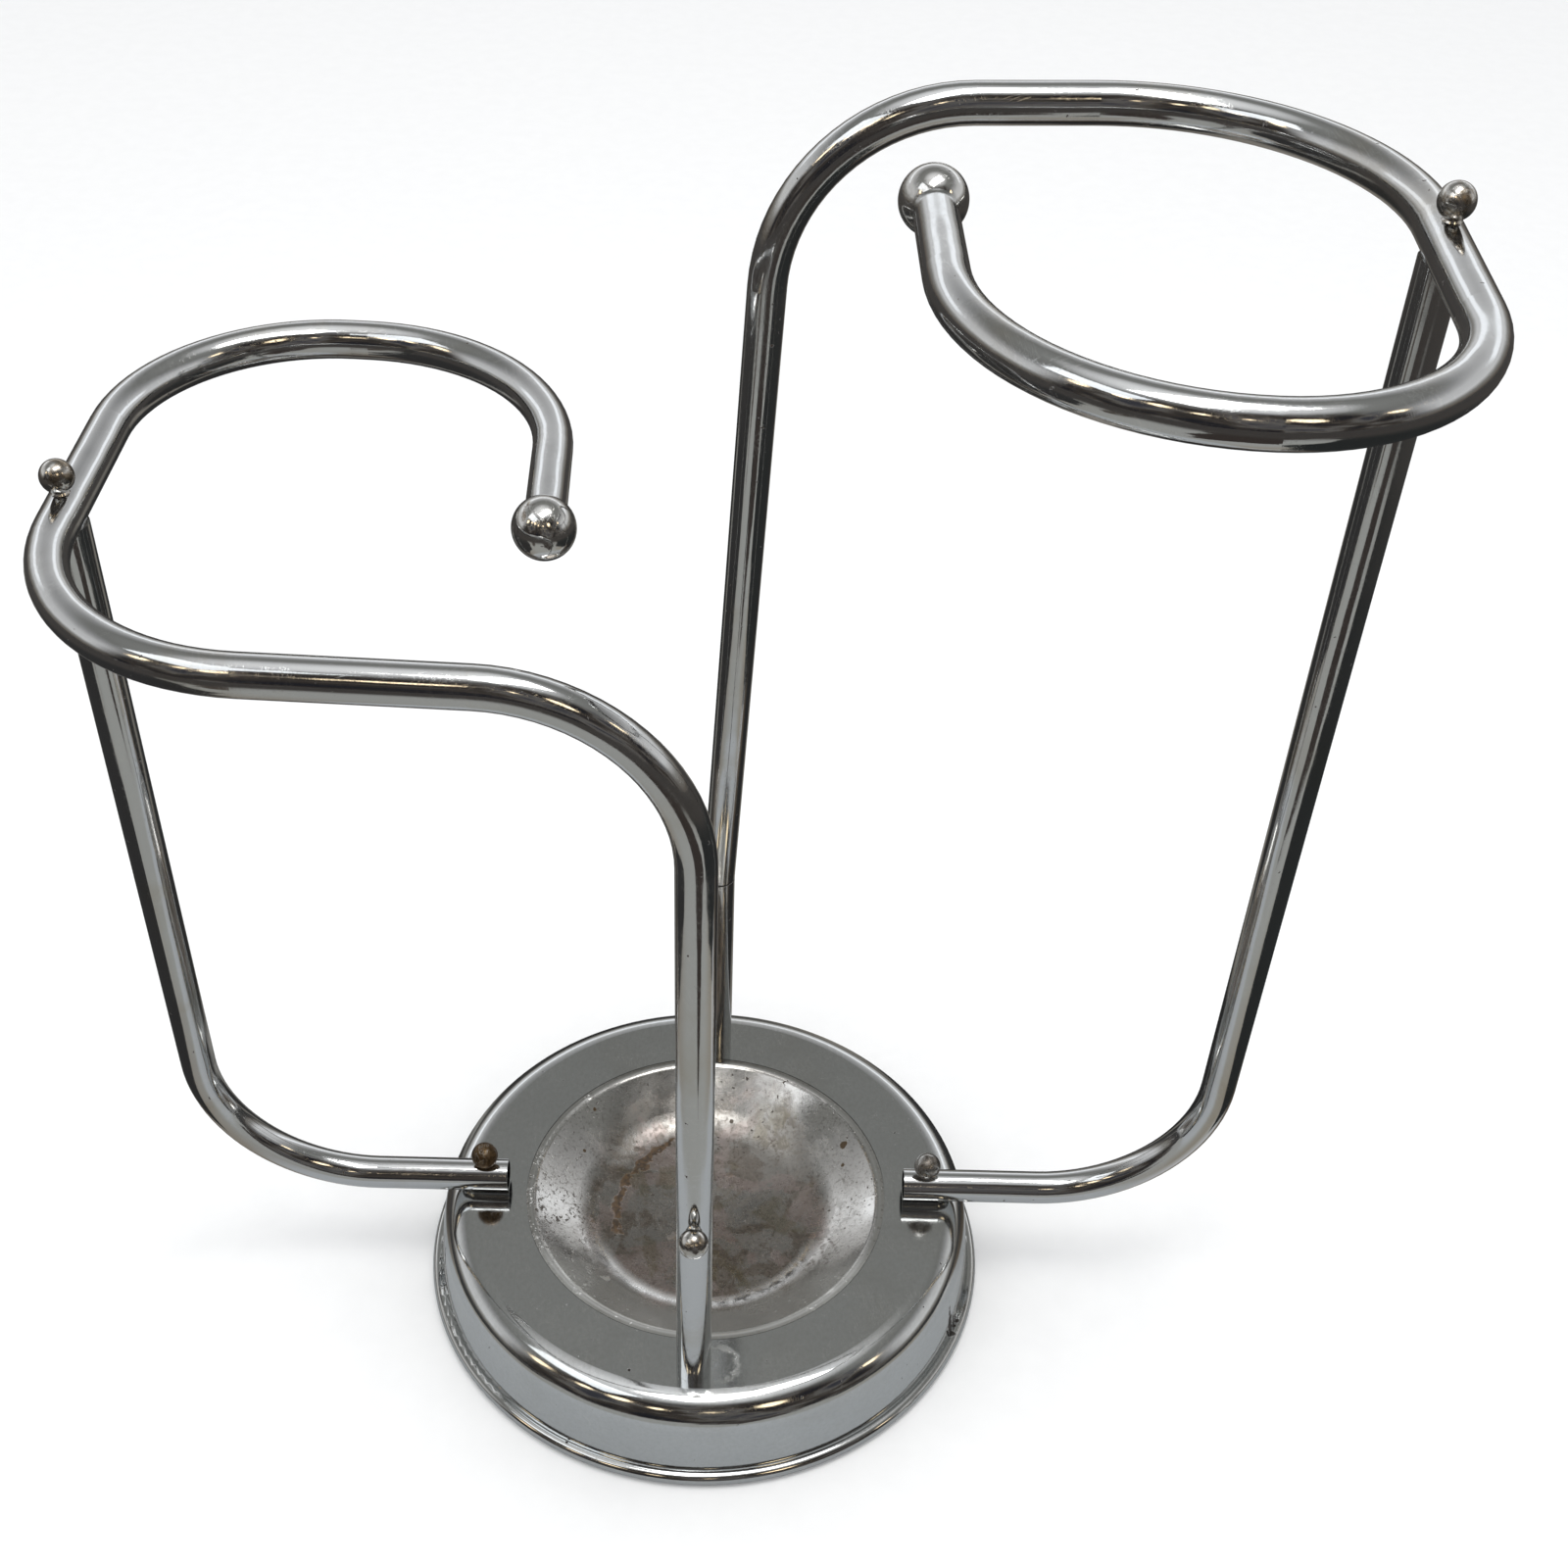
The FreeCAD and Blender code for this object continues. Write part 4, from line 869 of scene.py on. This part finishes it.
rough = spread(tree, oil, 0.0, 1.0, 0.42, 0.24, smooth=False)
rough = larger(tree, rough, times(tree, specks, 0.85))
metal = minus(tree, 1.0, times(tree, specks, 0.9))
height = minus(tree, times(tree, tool_rings, 0.05), times(tree, lines, 0.2))
close_finish(tree, tone, rough, metal, height, 0.4, 0.0004)
print("turned steel,", len(tree.nodes), "nodes")

# %% [markdown]
# Zinc crystals are the cells of a Voronoi pattern, each with a grey of its own. The casting gets its grain
# from noise in its bump, and both have small blooms of rust.

# %% Zinc and cast iron
fastener_zinc, tree, place = new_finish("fastener_zinc")
crystals = put(tree, "ShaderNodeTexVoronoi", {"Vector": place, "Scale": 900.0})
shade = put(tree, "ShaderNodeSeparateColor", {0: crystals.outputs["Color"]}).outputs[0]
rust_bloom = use(tree, clouds, place, scale=160.0, low=0.60, high=0.72)
tone = blend(tree, shade, (0.46, 0.47, 0.48, 1), (0.66, 0.67, 0.67, 1))
tone = blend(tree, rust_bloom, tone, (0.24, 0.13, 0.06, 1))
rough = spread(tree, shade, 0.0, 1.0, 0.28, 0.45, smooth=False)
rough = larger(tree, rough, times(tree, rust_bloom, 0.85))
metal = minus(tree, 1.0, times(tree, rust_bloom, 0.9))
close_finish(tree, tone, rough, metal, shade, 0.15, 0.0002)

cast_iron, tree, place = new_finish("cast_iron")
grain = noise(tree, place, 420.0, 5.0, 0.7)
lumps = noise(tree, place, 60.0, 3.0)
rust_bloom = use(tree, clouds, place, scale=45.0, low=0.55, high=0.70)
tone = blend(tree, spread(tree, grain, 0.35, 0.65), (0.020, 0.020, 0.022, 1), (0.055, 0.053, 0.052, 1))
tone = blend(tree, rust_bloom, tone, (0.16, 0.072, 0.032, 1))
rough = spread(tree, grain, 0.3, 0.7, 0.55, 0.80)
metal = times(tree, minus(tree, 1.0, rust_bloom), 0.6)
height = plus(tree, grain, times(tree, lumps, 0.6))
close_finish(tree, tone, rough, metal, height, 0.8, 0.0008)
print("zinc and cast iron")

# %% [markdown]
# ## Felt
# The pad under the foot is dark green felt. Felt has no weave: it is matted fibre, so two noises stretched
# in different directions make a tangle, and sheen gives the soft pale edge that fibres have.

# %% Felt
felt, tree, place = new_finish("felt")
tangle = None
for stretch in ((1.0, 0.12, 1.0), (0.12, 1.0, 1.0)):
    drawn = stretched(tree, place, stretch)
    strand = noise(tree, drawn, 1500.0, 3.0, 0.7, 0.8)
    tangle = strand if tangle is None else larger(tree, tangle, strand)
rubbed_thin = use(tree, clouds, place, scale=14.0, low=0.50, high=0.70)
lint = use(tree, pits, place, scale=210.0, share=0.05, gather=0.4)
tone = blend(tree, spread(tree, tangle, 0.40, 0.75), (0.018, 0.038, 0.022, 1), (0.050, 0.095, 0.058, 1))
tone = blend(tree, times(tree, rubbed_thin, 0.5), tone, (0.085, 0.095, 0.070, 1))
tone = blend(tree, times(tree, lint, 0.6), tone, (0.35, 0.34, 0.31, 1))
rough = spread(tree, tangle, 0.3, 0.8, 0.85, 1.0)
relief = put(tree, "ShaderNodeBump", {"Height": tangle, "Strength": 0.9, "Distance": 0.0008})
shader = put(tree, "ShaderNodeBsdfPrincipled", {"Base Color": tone, "Roughness": rough, "Metallic": 0.0,
             "Sheen Weight": 0.4, "Sheen Roughness": 0.5, "Normal": relief.outputs[0]})
put(tree, "ShaderNodeOutputMaterial", {0: shader.outputs[0]})
print("felt")

# %% [markdown]
# ## Dressing the pieces
# Each piece of the frame keeps its mesh and only its finish changes. The list reads like a parts list, so
# it is easy to see what is made of what.

# %% Give every piece its finish
FINISHES = {
    hook_chrome: ["short_hook_tube", "tall_hook_tube"],
    support_chrome: ["left_support_tube", "right_support_tube"],
    lower_post_chrome: ["tall_post_extension"],
    foot_chrome: ["base_shell"],
    bowl_worn: ["drip_bowl"],
    finial_chrome: ["short_hook_ball", "tall_hook_ball"],
    ball_chrome: ["left_top_bolt", "right_top_bolt", "front_lock_screw", "rear_lock_screw"],
    pitted_chrome: ["right_support_bolt"],
    ball_tarnished: ["left_support_bolt"],
    bare_steel: ["bottom_plate", "left_support_plug", "right_support_plug",
                 "front_foot_rod", "rear_foot_rod"],
    fastener_zinc: ["plate_screws", "rod_nuts", "rod_washers", "support_nuts", "support_washers"],
    cast_iron: ["ballast_ring"],
    felt: ["felt_pad"],
}
dressed = set()
for finish, names in FINISHES.items():
    for name in names:
        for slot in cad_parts[name].material_slots:
            slot.material = finish
        dressed.add(name)
left_bare = sorted(set(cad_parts) - dressed)
print("dressed", len(dressed), "of", len(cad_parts), "pieces; left:", left_bare)
